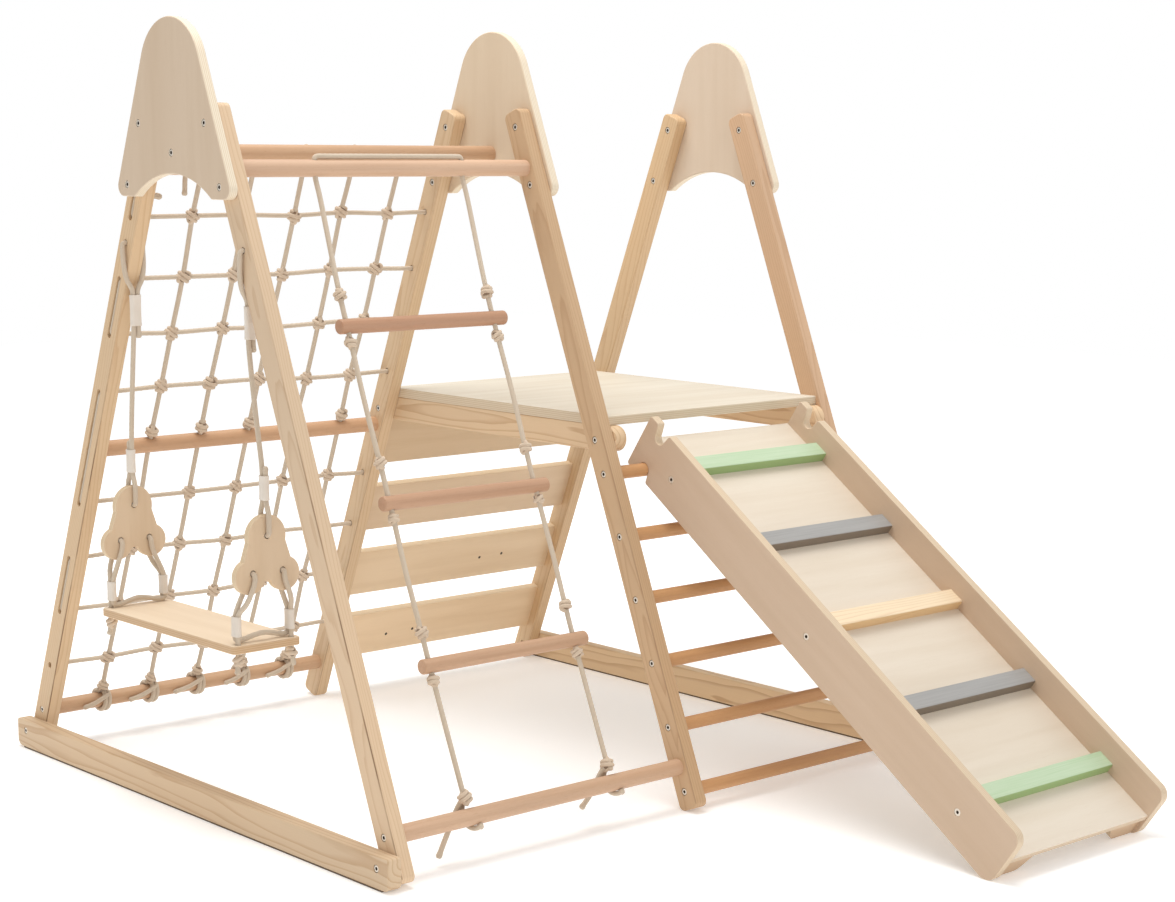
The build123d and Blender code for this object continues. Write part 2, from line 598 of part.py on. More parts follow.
with BuildPart() as ramp_board:
    with BuildSketch(ramp_plane(RAMP_X + PLY + RAMP_INNER)):
        with Locations((BOARD_LENGTH / 2, BOLT_W)):
            Rectangle(BOARD_LENGTH, BOARD_THICK)
    extrude(amount=RAMP_INNER)
    for u in RAMP_BOLT_U:
        for x_high in (RAMP_X + PLY + DOWEL_BITE, RAMP_X + PLY + RAMP_INNER):
            with BuildSketch(ramp_plane(x_high)) as bolt_hole:
                with Locations((u, BOLT_W)):
                    Circle(RAMP_SHANK_D / 2 + BORE_GAP / 2)
            extrude(bolt_hole.sketch, amount=DOWEL_BITE, mode=Mode.SUBTRACT)
ramp_board.part.label = "ramp_board"
export_step(ramp_board.part, "parts/ramp_board.step")

for i in range(BAR_COUNT):
    with BuildPart() as ramp_bar:
        with BuildSketch(ramp_plane(RAMP_X + PLY + RAMP_INNER)) as section:
            with Locations((BAR_FIRST_U + i * BAR_PITCH, BAR_SIZE[1] / 2)):
                Rectangle(*BAR_SIZE)
            fillet(section.vertices().group_by(Axis.Y)[-1], EDGE_R)
        extrude(amount=RAMP_INNER)
    ramp_bar.part.label = f"ramp_bar_{i + 1}"
    export_step(ramp_bar.part, f"parts/ramp_bar_{i + 1}.step")

# The cross piece at the foot hangs under the board, with a lobe beside each panel.
foot_origin = ramp_plane(RAMP_X + PLY + RAMP_INNER / 2).from_local_coords((FOOT_U, 0, 0))
foot_plane = Plane(origin=foot_origin, x_dir=(1, 0, 0), z_dir=(0, -cos(SLOPE), -sin(SLOPE)))
with BuildPart() as ramp_foot_rail:
    with BuildSketch(foot_plane) as outline:
        with BuildLine():
            half = RAMP_INNER / 2
            arch = half - FOOT_LOBE
            Polyline((-half, -BOARD_THICK), (-half, -FOOT_DROP), (-arch, -FOOT_DROP))
            Spline((-arch, -FOOT_DROP), (-arch + FOOT_OGEE, -FOOT_ARCH_W), tangents=((1, 0), (1, 0)))
            Line((-arch + FOOT_OGEE, -FOOT_ARCH_W), (arch - FOOT_OGEE, -FOOT_ARCH_W))
            Spline((arch - FOOT_OGEE, -FOOT_ARCH_W), (arch, -FOOT_DROP), tangents=((1, 0), (1, 0)))
            Polyline((arch, -FOOT_DROP), (half, -FOOT_DROP), (half, -BOARD_THICK), (-half, -BOARD_THICK))
        make_face()
    extrude(amount=-PLY)
ramp_foot_rail.part.label = "ramp_foot_rail"
export_step(ramp_foot_rail.part, "parts/ramp_foot_rail.step")


def ramp_bolt(face_x, into, u):
    """Socket-head bolt through a ramp panel into the edge of the board."""
    spot = ramp_plane(face_x).from_local_coords((u, BOLT_W, 0))
    seat = Plane(origin=spot, x_dir=(0, 1, 0), z_dir=(into, 0, 0))
    with BuildPart() as bolt:
        with BuildSketch(seat.offset(HEAD_SINK)):
            Circle(HEAD_D / 2)
        extrude(amount=HEAD_THICK)
        with BuildSketch(seat.offset(HEAD_SINK + HEAD_THICK)):
            Circle(RAMP_SHANK_D / 2)
        extrude(amount=PLY + DOWEL_BITE - HEAD_SINK - HEAD_THICK - 2)
        with BuildSketch(seat.offset(HEAD_SINK)):
            RegularPolygon(SOCKET_R, 6)
        extrude(amount=SOCKET_DEPTH, mode=Mode.SUBTRACT)
    return bolt.part


with BuildPart() as ramp_bolts:
    for u in RAMP_BOLT_U:
        add(ramp_bolt(RAMP_X, 1, u))
        add(ramp_bolt(RAMP_X + RAMP_WIDTH, -1, u))
ramp_bolts.part.label = "ramp_bolts"
export_step(ramp_bolts.part, "parts/ramp_bolts.step")


# ---------------------------------------------------------------- rope ladder
def hang(x, z, side, offset=0.0):
    """Point on a leg plane: x, and the leg's own (y, z) with an offset outwards."""
    y, height = on_leg(side, z, offset)
    return (x, y, height)


def tie_loop(label, x, side):
    """Rope round a bottom dowel, with both ends in the knot above it."""
    reach = DOWEL_D / 2 + ROPE_D / 2 + GAP
    def spot(along, out, dx):
        y, z = on_leg(side, BOTTOM_Z + along * cos(radians(LEAN)), out)
        return (x + dx, y, z)
    points = [spot(28, 10, -6), spot(12, reach, -5), spot(-reach, reach, -3), spot(-reach, -reach, 3),
              spot(12, -reach, 5), spot(28, -10, 6)]
    return rope_tube(label, points, {2: 16, 3: 16})


TOP_ROPE_Z = TOP_DOWEL_Z + DOWEL_D / 2 + ROPE_D / 2 + 1.0
TOP_DOWEL_Y = BAY_DOWELS["front_top_dowel"][0]
LADDER_ROUTE = [
    hang(191, 120, -1),
    hang(186.5, 322, -1),
    hang(185.6, 586, -1),
    hang(186.4, 878, -1),
    (198, TOP_DOWEL_Y, 1122),
    (198, TOP_DOWEL_Y, TOP_ROPE_Z),
    (522, TOP_DOWEL_Y, TOP_ROPE_Z),
    (522, TOP_DOWEL_Y, 1122),
    hang(508.4, 878, -1),
    hang(507.6, 586, -1),
    hang(508.4, 322, -1),
    hang(513, 120, -1),
]
LADDER_BENDS = {1: 500, 2: 900, 3: 400, 4: 20, 5: BEND_R, 6: BEND_R, 7: 20, 8: 400, 9: 900, 10: 500}
LADDER_TAILS = [
    [(186, -552, 108), (180, -545, 88), (172, -545, 71), (160, -547, 53), (137, -551, 15)],
    [(506, -552, 108), (497, -545, 84), (488, -545, 68), (477, -547, 57), (455, -550, 40)],
]
with BuildPart() as ladder_rope:
    add(rope_tube("ladder rope", LADDER_ROUTE, LADDER_BENDS))
    for x in (192, 512):
        add(tie_loop("ladder tie", x, -1))
    for tail in LADDER_TAILS:
        add(rope_tube("ladder tail", tail))
ladder_rope.part.label = "ladder_rope"
export_step(ladder_rope.part, "parts/ladder_rope.step")

for i, z in enumerate(LADDER_RUNG_Z):
    point = on_leg(-1, z)
    with BuildPart() as ladder_rung:
        with BuildSketch(Plane.YZ.offset(LADDER_RUNG_X[0])):
            with Locations(point):
                Circle(LADDER_RUNG_D / 2)
        extrude(amount=LADDER_RUNG_X[1] - LADDER_RUNG_X[0])
        fillet(ladder_rung.edges().filter_by(GeomType.CIRCLE), 3)
        cross_holes(LADDER_HOLE_X, point, STRAIGHT_HOLE_D, LEAN)
    ladder_rung.part.label = f"ladder_rung_{i + 1}"
    export_step(ladder_rung.part, f"parts/ladder_rung_{i + 1}.step")

LADDER_KNOTS = [
    hang(187, 930, -1), hang(185, 850, -1), hang(185, 652, -1), hang(184, 560, -1),
    hang(185, 376, -1), hang(186, 298, -1), hang(192, 112, -1),
    hang(510, 924, -1), hang(508, 847, -1), hang(510, 652, -1), hang(510, 562, -1),
    hang(508, 380, -1), hang(508, 300, -1), hang(512, 112, -1),
]
with BuildPart() as ladder_knots:
    with Locations(*LADDER_KNOTS):
        Sphere(KNOT_R - 1)
ladder_knots.part.label = "ladder_knots"
export_step(ladder_knots.part, "parts/ladder_knots.step")

# ---------------------------------------------------------------- net
with BuildPart() as net_vertical_ropes:
    for i, x in enumerate(NET_COLUMNS):
        sway = 1.5 if i % 2 else -1.5
        column = [hang(x, 1166, 1), hang(x, 1112, 1, 0.3), hang(x + sway, 943, 1),
                  hang(x - sway, 731, 1), hang(x, 618.5, 1), hang(x + sway, 513, 1),
                  hang(x - sway, 291, 1), hang(x, 118, 1)]
        add(rope_tube("net column", column))
        add(tie_loop("net tie", x, 1))
net_vertical_ropes.part.label = "net_vertical_ropes"
export_step(net_vertical_ropes.part, "parts/net_vertical_ropes.step")

LEFT_GROOVE_X = LEFT_X + GROOVE_ROPE
RIGHT_GROOVE_X = MIDDLE_FACE - GROOVE_ROPE
CROSS_ROUTE = [hang(LEFT_X + TIMBER + 20, NET_START_Z, 1), hang(LEFT_GROOVE_X, NET_START_Z, 1)]
for i, row in enumerate(NET_ROWS):
    ends = [LEFT_GROOVE_X, RIGHT_GROOVE_X]
    if i % 2:
        ends.reverse()
    CROSS_ROUTE.append(hang(ends[0], row, 1))
    CROSS_ROUTE.append(hang(ends[1], row, 1))
CORNERS = {i: BEND_R for i in range(1, len(CROSS_ROUTE) - 1)}
with BuildPart() as net_cross_rope:
    add(rope_tube("net cross rope", CROSS_ROUTE, CORNERS))
net_cross_rope.part.label = "net_cross_rope"
export_step(net_cross_rope.part, "parts/net_cross_rope.step")

with BuildPart() as net_knots:
    for x in NET_COLUMNS:
        spots = [hang(x, z, 1) for z in NET_ROWS]
        spots.append(hang(x, MIDDLE_NET_Z + 27, 1))
        spots.append(hang(x, TOP_DOWEL_Z + 26, 1))
        spots.append(hang(x, BOTTOM_Z + 31, 1))
        with Locations(*spots):
            Sphere(KNOT_R)
net_knots.part.label = "net_knots"
export_step(net_knots.part, "parts/net_knots.step")

# ---------------------------------------------------------------- swing
HANGER_X = ROPE_D / 2 + 1.75
PAIR = ROPE_D / 2 + 0.15
PLATE_OUT = SIDE_PLATE_THICK / 2 + ROPE_D / 2 + 1.2


def swing_point(side, dx, y, z):
    """Point on one end of the swing: side is -1 at the front and 1 at the back."""
    return (SWING_X + dx, side * y, z)


with BuildPart() as swing_hanger_loops:
    for side in (-1, 1):
        out = TIMBER / 2 + HANGER_X
        loop = [swing_point(side, -PAIR, HANGER_Y, 928), swing_point(side, -out, HANGER_Y + 1, 945),
                swing_point(side, -out, leg_y(HANGER_Z), HANGER_Z), swing_point(side, out, leg_y(HANGER_Z), HANGER_Z),
                swing_point(side, out, HANGER_Y + 1, 945), swing_point(side, PAIR, HANGER_Y, 928)]
        add(rope_tube("hanger loop", loop, {2: BEND_R, 3: BEND_R}))
swing_hanger_loops.part.label = "swing_hanger_loops"
export_step(swing_hanger_loops.part, "parts/swing_hanger_loops.step")

UPPER_BENDS = {1: 60, 3: 30, 4: 20, 6: BEND_R, 7: BEND_R, 9: 20}
with BuildPart() as swing_upper_ropes:
    for side in (-1, 1):
        route = [swing_point(side, -PAIR, HANGER_Y, 920), swing_point(side, -PAIR, HANGER_Y, 854),
                 swing_point(side, -1, SIDE_PLATE_Y - PAIR - 2, 660),
                 swing_point(side, 0, SIDE_PLATE_Y - PAIR + 0.1, 634),
                 swing_point(side, 0, SIDE_PLATE_Y - PAIR, 584),
                 swing_point(side, 0, SIDE_PLATE_Y - PLATE_OUT, 568),
                 swing_point(side, 0, SIDE_PLATE_Y - PLATE_OUT, SIDE_HOLE_Z),
                 swing_point(side, 0, SIDE_PLATE_Y + PLATE_OUT, SIDE_HOLE_Z),
                 swing_point(side, 0, SIDE_PLATE_Y + PLATE_OUT, 568),
                 swing_point(side, 0, SIDE_PLATE_Y + PAIR, 584),
                 swing_point(side, 0, SIDE_PLATE_Y + PAIR + 0.5, 648)]
        add(rope_tube("swing upper rope", route, UPPER_BENDS))
        add(rope_tube("swing stub", [swing_point(side, PAIR, HANGER_Y, 920), swing_point(side, PAIR, HANGER_Y, 836)]))
swing_upper_ropes.part.label = "swing_upper_ropes"
export_step(swing_upper_ropes.part, "parts/swing_upper_ropes.step")


def sleeve(center, along_x, height):
    """A crimp sleeve round two ropes; the pair lies along X or along Y."""
    width, depth = SLEEVE
    turn = 0 if along_x else 90
    with BuildPart() as tube:
        with BuildSketch(Plane(origin=center, z_dir=(0, 0, 1))):
            SlotOverall(width, depth, rotation=turn)
            SlotOverall(width - 3.6, ROPE_D + 0.4, rotation=turn, mode=Mode.SUBTRACT)
        extrude(amount=height / 2, both=True)
    return tube.part


with BuildPart() as swing_upper_sleeves:
    for side in (-1, 1):
        add(sleeve(swing_point(side, 0, HANGER_Y, 888), True, 56))
        add(sleeve(swing_point(side, 0, SIDE_PLATE_Y, 611), False, 42))
swing_upper_sleeves.part.label = "swing_upper_sleeves"
export_step(swing_upper_sleeves.part, "parts/swing_upper_sleeves.step")

for label, side in (("swing_front_side_plate", -1), ("swing_back_side_plate", 1)):
    with BuildPart() as side_plate:
        across_y = Plane(origin=(SWING_X, side * SIDE_PLATE_Y, 0), x_dir=(1, 0, 0), z_dir=(0, -1, 0))
        with BuildSketch(across_y) as outline:
            with Locations((0, 528)):
                Circle(38)
            with Locations((-35, 461), (35, 461)):
                Circle(30)
            with BuildLine():
                Polyline((-35, 452), (35, 452), (48, 487), (37, 520), (-37, 520), (-48, 487), close=True)
            make_face()
            fillet(outline.vertices().filter_by(lambda v: abs(v.X) < 20 and v.Y < 470), 6)
        extrude(amount=SIDE_PLATE_THICK / 2, both=True)
        fillet(side_plate.faces().filter_by(Axis.Y).edges(), 2)
        with BuildSketch(across_y):
            with Locations((0, SIDE_HOLE_Z), (-LOBE_HOLE[0], LOBE_HOLE[1]), LOBE_HOLE):
                Circle(BEND_HOLE_D / 2)
        extrude(amount=SIDE_PLATE_THICK, both=True, mode=Mode.SUBTRACT)
    side_plate.part.label = label
    export_step(side_plate.part, f"parts/{label}.step")

SEAT_ROPE_IN = SEAT_HOLE[1] - 2 * PAIR
SEAT_ROPE_HALF = [
    (SEAT_HOLE[0], SEAT_HOLE[1], 294),
    (SEAT_HOLE[0], SEAT_HOLE[1], 401),
    (40, SIDE_PLATE_Y + PLATE_OUT, 424),
    (LOBE_HOLE[0], SIDE_PLATE_Y + PLATE_OUT, LOBE_HOLE[1]),
    (LOBE_HOLE[0], SIDE_PLATE_Y - PLATE_OUT, LOBE_HOLE[1]),
    (40, SIDE_PLATE_Y - PLATE_OUT, 424),
    (SEAT_HOLE[0], SEAT_ROPE_IN, 401),
    (SEAT_HOLE[0], SEAT_ROPE_IN, SEAT_TOP_Z + ROPE_D / 2 + GAP),
]
with BuildPart() as swing_seat_ropes:
    for side in (-1, 1):
        half = [swing_point(side, dx, y, z) for dx, y, z in SEAT_ROPE_HALF]
        middle = [swing_point(side, 0, SEAT_ROPE_IN, SEAT_TOP_Z + 13)]
        other = [swing_point(side, -dx, y, z) for dx, y, z in reversed(SEAT_ROPE_HALF)]
        tight = {1: 12, 3: BEND_R, 4: BEND_R, 6: 12, 7: BEND_R, 9: BEND_R, 10: 12, 12: BEND_R, 13: BEND_R, 15: 12}
        add(rope_tube("swing seat rope", half + middle + other, tight))
swing_seat_ropes.part.label = "swing_seat_ropes"
export_step(swing_seat_ropes.part, "parts/swing_seat_ropes.step")

with BuildPart() as swing_seat_sleeves:
    for side in (-1, 1):
        for end in (-1, 1):
            add(sleeve(swing_point(side, end * SEAT_HOLE[0], SEAT_HOLE[1] - PAIR, 376.5), False, 35))
swing_seat_sleeves.part.label = "swing_seat_sleeves"
export_step(swing_seat_sleeves.part, "parts/swing_seat_sleeves.step")

SEAT_CORNERS = [(SWING_X + a * SEAT_HOLE[0], b * SEAT_HOLE[1]) for a in (-1, 1) for b in (-1, 1)]
with BuildPart() as swing_seat:
    with BuildSketch(Plane.XY.offset(SEAT_TOP_Z - SEAT_SIZE[2])) as outline:
        with Locations((SWING_X, 0)):
            Rectangle(SEAT_SIZE[0], SEAT_SIZE[1])
        fillet(outline.vertices(), 8)
    extrude(amount=SEAT_SIZE[2])
    fillet(swing_seat.faces().filter_by(Axis.Z).edges(), EDGE_R)
    with BuildSketch(Plane.XY.offset(SEAT_TOP_Z - SEAT_SIZE[2])):
        with Locations(*SEAT_CORNERS):
            Circle(STRAIGHT_HOLE_D / 2)
    extrude(amount=SEAT_SIZE[2], mode=Mode.SUBTRACT)
swing_seat.part.label = "swing_seat"
export_step(swing_seat.part, "parts/swing_seat.step")

KNOT_DROP = SEAT_SIZE[2] + 11.5
with BuildPart() as swing_knots:
    with Locations(*[(x, y, SEAT_TOP_Z - KNOT_DROP) for x, y in SEAT_CORNERS]):
        Sphere(KNOT_R - 2)
swing_knots.part.label = "swing_knots"
export_step(swing_knots.part, "parts/swing_knots.step")
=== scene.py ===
import math
import random

import bpy
from mathutils import Matrix, Vector


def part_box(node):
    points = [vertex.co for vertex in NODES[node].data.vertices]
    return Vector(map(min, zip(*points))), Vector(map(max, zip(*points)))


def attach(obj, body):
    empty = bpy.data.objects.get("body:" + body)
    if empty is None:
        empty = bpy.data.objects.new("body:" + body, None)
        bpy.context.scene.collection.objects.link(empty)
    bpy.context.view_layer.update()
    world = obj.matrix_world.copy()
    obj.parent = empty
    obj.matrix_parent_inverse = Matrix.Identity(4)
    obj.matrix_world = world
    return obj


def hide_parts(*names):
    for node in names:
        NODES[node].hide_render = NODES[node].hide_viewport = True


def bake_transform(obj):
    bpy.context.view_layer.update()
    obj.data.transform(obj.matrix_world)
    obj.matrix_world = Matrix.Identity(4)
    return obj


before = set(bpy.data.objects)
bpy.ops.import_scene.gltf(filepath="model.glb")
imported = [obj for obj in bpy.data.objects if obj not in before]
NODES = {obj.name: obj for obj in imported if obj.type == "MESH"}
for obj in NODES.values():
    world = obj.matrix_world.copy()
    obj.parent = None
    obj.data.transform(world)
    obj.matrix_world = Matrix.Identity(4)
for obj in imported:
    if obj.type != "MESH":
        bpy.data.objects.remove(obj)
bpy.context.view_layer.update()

# Wooden climbing frame: materials for the CAD nodes, and rope, knots and sleeves built over theirs.
# Everything is in metres, in the frame of the CAD model.

LEAN = math.radians(22)
HALF_SPREAD = 0.5977
LEG_LEFT_X = (0.014, 0.674, 1.268)
RAMP_SLOPE = math.radians(34.54)
ROPE_D = 0.0094
ROW_D = 0.0090
KNOT_ROPE_D = 0.0076
DOWEL_R = 0.015
SWING_X = 0.028


def put_in_scene(name, data):
    """An object made of the data, linked to the scene."""
    thing = bpy.data.objects.new(name, data)
    bpy.context.scene.collection.objects.link(thing)
    return thing


# ---------------------------------------------------------------- camera, light and floor
def place_camera():
    """The viewing angle of a catalogue picture, from the front left at an adult's chest height."""
    forward = Vector((0.6611, 0.7298, -0.1742)).normalized()
    right = Vector((forward.y, -forward.x, 0)).normalized()
    up = right.cross(forward)
    roll = math.radians(0.4)
    side = right * math.cos(roll) + up * math.sin(roll)
    top = up * math.cos(roll) - right * math.sin(roll)
    data = bpy.data.cameras.new("camera")
    data.sensor_width = 36
    data.lens = 70.0
    data.shift_x = -0.019
    data.shift_y = 0.085
    camera = put_in_scene("camera", data)
    turn = Matrix((side, top, -forward)).transposed().to_4x4()
    camera.matrix_world = Matrix.Translation((-2.1086, -3.4504, 1.1842)) @ turn
    bpy.context.scene.camera = camera


def area_light(name, place, target, size, power):
    """A soft square light that faces a point of the object."""
    data = bpy.data.lights.new(name, "AREA")
    data.shape = "SQUARE"
    data.size = size
    data.energy = power
    light = put_in_scene(name, data)
    light.location = place
    light.rotation_euler = (Vector(target) - Vector(place)).to_track_quat("-Z", "Y").to_euler()


# How strongly the white background lights the object; the camera sees it at 1.
AROUND = 0.52


def light_studio():
    """A white studio: plain white behind the object, softer light from all round, and three broad lights."""
    scene = bpy.context.scene
    scene.view_settings.view_transform = "Standard"
    world = bpy.data.worlds.new("studio")
    world.use_nodes = True
    tree = world.node_tree
    tree.nodes["Background"].inputs["Color"].default_value = (1.0, 1.0, 1.0, 1)
    seen = tree.nodes.new("ShaderNodeLightPath")
    level = tree.nodes.new("ShaderNodeMath")
    level.operation = "MULTIPLY_ADD"
    level.inputs[1].default_value = 1.0 - AROUND
    level.inputs[2].default_value = AROUND
    tree.links.new(seen.outputs["Is Camera Ray"], level.inputs[0])
    tree.links.new(level.outputs[0], tree.nodes["Background"].inputs["Strength"])
    scene.world = world
    centre = (0.65, -0.1, 0.5)
    area_light("overhead", (0.3, 0.2, 4.2), centre, 2.6, 120)
    area_light("front_key", (-0.4, -4.4, 2.6), centre, 2.4, 26)
    area_light("right_fill", (4.0, -2.2, 2.2), centre, 2.4, 16)


def lay_floor():
    """A plain pale floor that reaches past the view on all sides, and glows to white away from the object."""
    half = 9.0
    mesh = bpy.data.meshes.new("floor")
    mesh.from_pydata([(-half, -half, 0), (half, -half, 0), (half, half, 0), (-half, half, 0)], [], [(0, 1, 2, 3)])
    material = bpy.data.materials.new("floor")
    material.use_nodes = True
    shader = material.node_tree.nodes["Principled BSDF"]
    shader.inputs["Base Color"].default_value = (0.96, 0.96, 0.955, 1)
    shader.inputs["Roughness"].default_value = 0.85
    shader.inputs["Specular IOR Level"].default_value = 0.1
    tree = material.node_tree
    place = tree.nodes.new("ShaderNodeTexCoord")
    reach = tree.nodes.new("ShaderNodeVectorMath")
    reach.operation = "DISTANCE"
    reach.inputs[1].default_value = (0.6, -0.3, 0)
    glow = tree.nodes.new("ShaderNodeMapRange")
    for socket, value in (("From Min", 0.9), ("From Max", 2.6), ("To Min", 0.22), ("To Max", 0.5)):
        glow.inputs[socket].default_value = value
    tree.links.new(place.outputs["Object"], reach.inputs[0])
    tree.links.new(reach.outputs["Value"], glow.inputs["Value"])
    tree.links.new(glow.outputs["Result"], shader.inputs["Emission Strength"])
    shader.inputs["Emission Color"].default_value = (1, 1, 1, 1)
    mesh.materials.append(material)
    put_in_scene("floor", mesh)


# ---------------------------------------------------------------- material helpers
def linear(rgb):
    """A colour given as it looks on screen, 0 to 255, in linear light."""
    return tuple(((c / 255) / 12.92 if c / 255 <= 0.04045 else ((c / 255 + 0.055) / 1.055) ** 2.4) for c in rgb)


def opaque(rgb):
    """The same with the fourth number that a colour socket takes."""
    return (*linear(rgb), 1)


def deeper(color, factors):
    return tuple(c * f for c, f in zip(color, factors))


class Shader:
    """A material under construction: adds nodes and joins their sockets."""

    def __init__(self, name, roughness, specular=0.35):
        self.material = bpy.data.materials.new(name)
        self.material.use_nodes = True
        self.tree = self.material.node_tree
        self.bsdf = self.tree.nodes["Principled BSDF"]
        self.bsdf.inputs["Roughness"].default_value = roughness
        self.bsdf.inputs["Specular IOR Level"].default_value = specular

    def feed(self, socket, value):
        """Joins an output to a socket, or sets a plain value on it."""
        if isinstance(value, bpy.types.NodeSocket):
            self.tree.links.new(value, socket)
        else:
            socket.default_value = value

    def add(self, kind, inputs=(), output=0, **settings):
        """A node with its settings and inputs; returns the wanted output socket."""
        node = self.tree.nodes.new(kind)
        for key, value in settings.items():
            setattr(node, key, value)
        for key, value in dict(inputs).items():
            self.feed(node.inputs[key], value)
        return node.outputs[output]

    def math(self, operation, a, b=0.0, c=0.0):
        return self.add("ShaderNodeMath", {0: a, 1: b, 2: c}, operation=operation)

    def dot(self, a, b):
        return self.add("ShaderNodeVectorMath", {0: a, 1: b}, output=1, operation="DOT_PRODUCT")

    def noise(self, vector, scale, detail=2.0, roughness=0.5):
        return self.add("ShaderNodeTexNoise", {"Vector": vector, "Scale": scale, "Detail": detail,
                                               "Roughness": roughness})

    def ramp(self, factor, stops):
        """A colour ramp with (place, colour) stops."""
        output = self.add("ShaderNodeValToRGB", {"Fac": factor})
        marks = output.node.color_ramp.elements
        while len(marks) < len(stops):
            marks.new(0.5)
        for mark, (place, color) in zip(marks, stops):
            mark.position = place
            mark.color = (*color, 1)
        return output

    def fade(self, factor, start, end, first=0.0, last=1.0):
        """A mask that goes from first to last while the factor goes from start to end."""
        return self.ramp(factor, [(start, (first,) * 3), (end, (last,) * 3)])

    def mix(self, factor, a, b, blend="MIX"):
        node = self.tree.nodes.new("ShaderNodeMix")
        node.data_type = "RGBA"
        node.blend_type = blend
        self.feed(node.inputs[0], factor)
        self.feed(node.inputs[6], a)
        self.feed(node.inputs[7], b)
        return node.outputs[2]

    def scaled(self, vector, scale):
        return self.add("ShaderNodeVectorMath", {0: vector, 1: scale}, operation="MULTIPLY")

    def bump(self, height, strength, distance):
        normal = self.add("ShaderNodeBump", {"Height": height, "Strength": strength, "Distance": distance})
        self.feed(self.bsdf.inputs["Normal"], normal)

    def finish(self, color):
        self.feed(self.bsdf.inputs["Base Color"], color)
        return self.material


# What the grain of a wood may run along, as the turn that brings it to Z.
ALONG_X = (0, -math.pi / 2, 0)
ALONG_Y = (math.pi / 2, 0, 0)
ALONG_Z = (0, 0, 0)
FRONT_LEG = (LEAN, 0, 0)
BACK_LEG = (-LEAN, 0, 0)
DOWN_THE_RAMP = (math.radians(90) - RAMP_SLOPE, 0, 0)

TOWARDS_FOOT = (0, -math.cos(RAMP_SLOPE), -math.sin(RAMP_SLOPE))
OFF_THE_RAMP = (0, -math.sin(RAMP_SLOPE), math.cos(RAMP_SLOPE))


def grain_shift(seed):
    """How far a seed moves the grain, so that no two boards look alike."""
    spot = random.Random(seed)
    return (spot.uniform(-3, 3), spot.uniform(-3, 3), spot.uniform(-3, 3))


def grain_space(shader, turn, seed):
    """Object coordinates turned so that the grain runs along Z, and moved by a seed."""
    where = shader.add("ShaderNodeTexCoord", output=3)
    return shader.add("ShaderNodeMapping", {"Vector": where, "Rotation": turn, "Location": grain_shift(seed)},
                      vector_type="POINT")


def board_centre(node, turn):
    """A node's middle in its grain space."""
    low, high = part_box(node)
    middle = (low + high) / 2
    rotation = Matrix.Rotation(turn[2], 3, "Z") @ Matrix.Rotation(turn[1], 3, "Y") @ Matrix.Rotation(turn[0], 3, "X")
    return rotation @ middle


def towards_foot_shade_mask(shader):
    """A mask for the painted shade on a ramp bar's face towards the foot of the ramp."""
    normal = shader.add("ShaderNodeTexCoord", output=1)
    return shader.fade(shader.dot(normal, TOWARDS_FOOT), 0.6, 0.85)


def pine(node, turn, seed, light, dark=(184, 140, 95), ring=0.0062, pith=0.07, depth=0.34, corner_line=None,
         foot_face_shade=None):
    """Planed pine: growth rings round an offset pith, fine fibre and a soft satin finish.

    The rings are ring apart, their pith is pith from the board's middle, and depth is how much they show.
    A fine dark line may run along a leg, where its left face meets its front face. A ramp bar's face towards the
    foot of the ramp may be darkened with painted shade."""
    shader = Shader(f"pine_{node}", 0.5)
    where = grain_space(shader, turn, seed)
    shift = grain_shift(seed)
    middle = board_centre(node, turn)
    angle = random.Random(seed).uniform(0, 2 * math.pi)
    origin = (-shift[0] - middle.x + pith * math.cos(angle), -shift[1] - middle.y + pith * math.sin(angle), 0)
    centred = shader.add("ShaderNodeVectorMath", {0: where, 1: origin}, operation="ADD")
    parts = shader.add("ShaderNodeSeparateXYZ", {"Vector": centred})
    x_part, y_part, z_part = parts.node.outputs
    slow = shader.noise(shader.scaled(where, (9, 9, 1.6)), 1.0, 2.0)
    wander = shader.noise(shader.scaled(where, (26, 26, 3.2)), 1.0, 3.0)
    flat = shader.add("ShaderNodeCombineXYZ", {"X": x_part, "Y": y_part, "Z": 0.0})
    radius = shader.add("ShaderNodeVectorMath", {0: flat}, output=1, operation="LENGTH")
    radius = shader.math("ADD", radius, shader.math("MULTIPLY", slow, 0.055))
    radius = shader.math("ADD", radius, shader.math("MULTIPLY", wander, 0.012))
    radius = shader.math("ADD", radius, shader.math("MULTIPLY", z_part, 0.012))
    phase = shader.math("FRACT", shader.math("DIVIDE", radius, ring))
    rings = shader.ramp(phase, [(0.0, (0.0, 0.0, 0.0)), (0.6, (0.10, 0.10, 0.10)), (0.84, (0.85, 0.85, 0.85)),
                                (0.91, (1.0, 1.0, 1.0)), (0.96, (0.0, 0.0, 0.0))])
    fibre = shader.noise(shader.scaled(where, (900, 900, 14)), 1.0, 3.0, 0.6)
    broad = shader.noise(shader.scaled(where, (5, 5, 1.5)), 1.0, 1.0)
    color = shader.mix(shader.math("MULTIPLY", rings, depth), opaque(light), opaque(dark))
    color = shader.mix(shader.math("MULTIPLY", fibre, 0.18), color, opaque((180, 140, 100)))
    warm = shader.ramp(broad, [(0.35, (0.93, 0.93, 0.93)), (0.65, (1.03, 1.01, 0.98))])
    color = shader.mix(1.0, color, warm, "MULTIPLY")
    if corner_line:
        color = shader.mix(leg_corner_line(shader, *corner_line), color, opaque((118, 84, 56)))
    # Painted shade on a ramp bar's face towards the foot of the ramp.
    if foot_face_shade:
        color = shader.mix(towards_foot_shade_mask(shader), color, opaque(foot_face_shade), "MULTIPLY")
    shader.feed(shader.bsdf.inputs["Roughness"], shader.math("MULTIPLY_ADD", fibre, 0.14, 0.42))
    height = shader.math("ADD", shader.math("MULTIPLY", rings, 0.5), fibre)
    shader.bump(height, 0.22, 0.0004)
    return shader.finish(color)
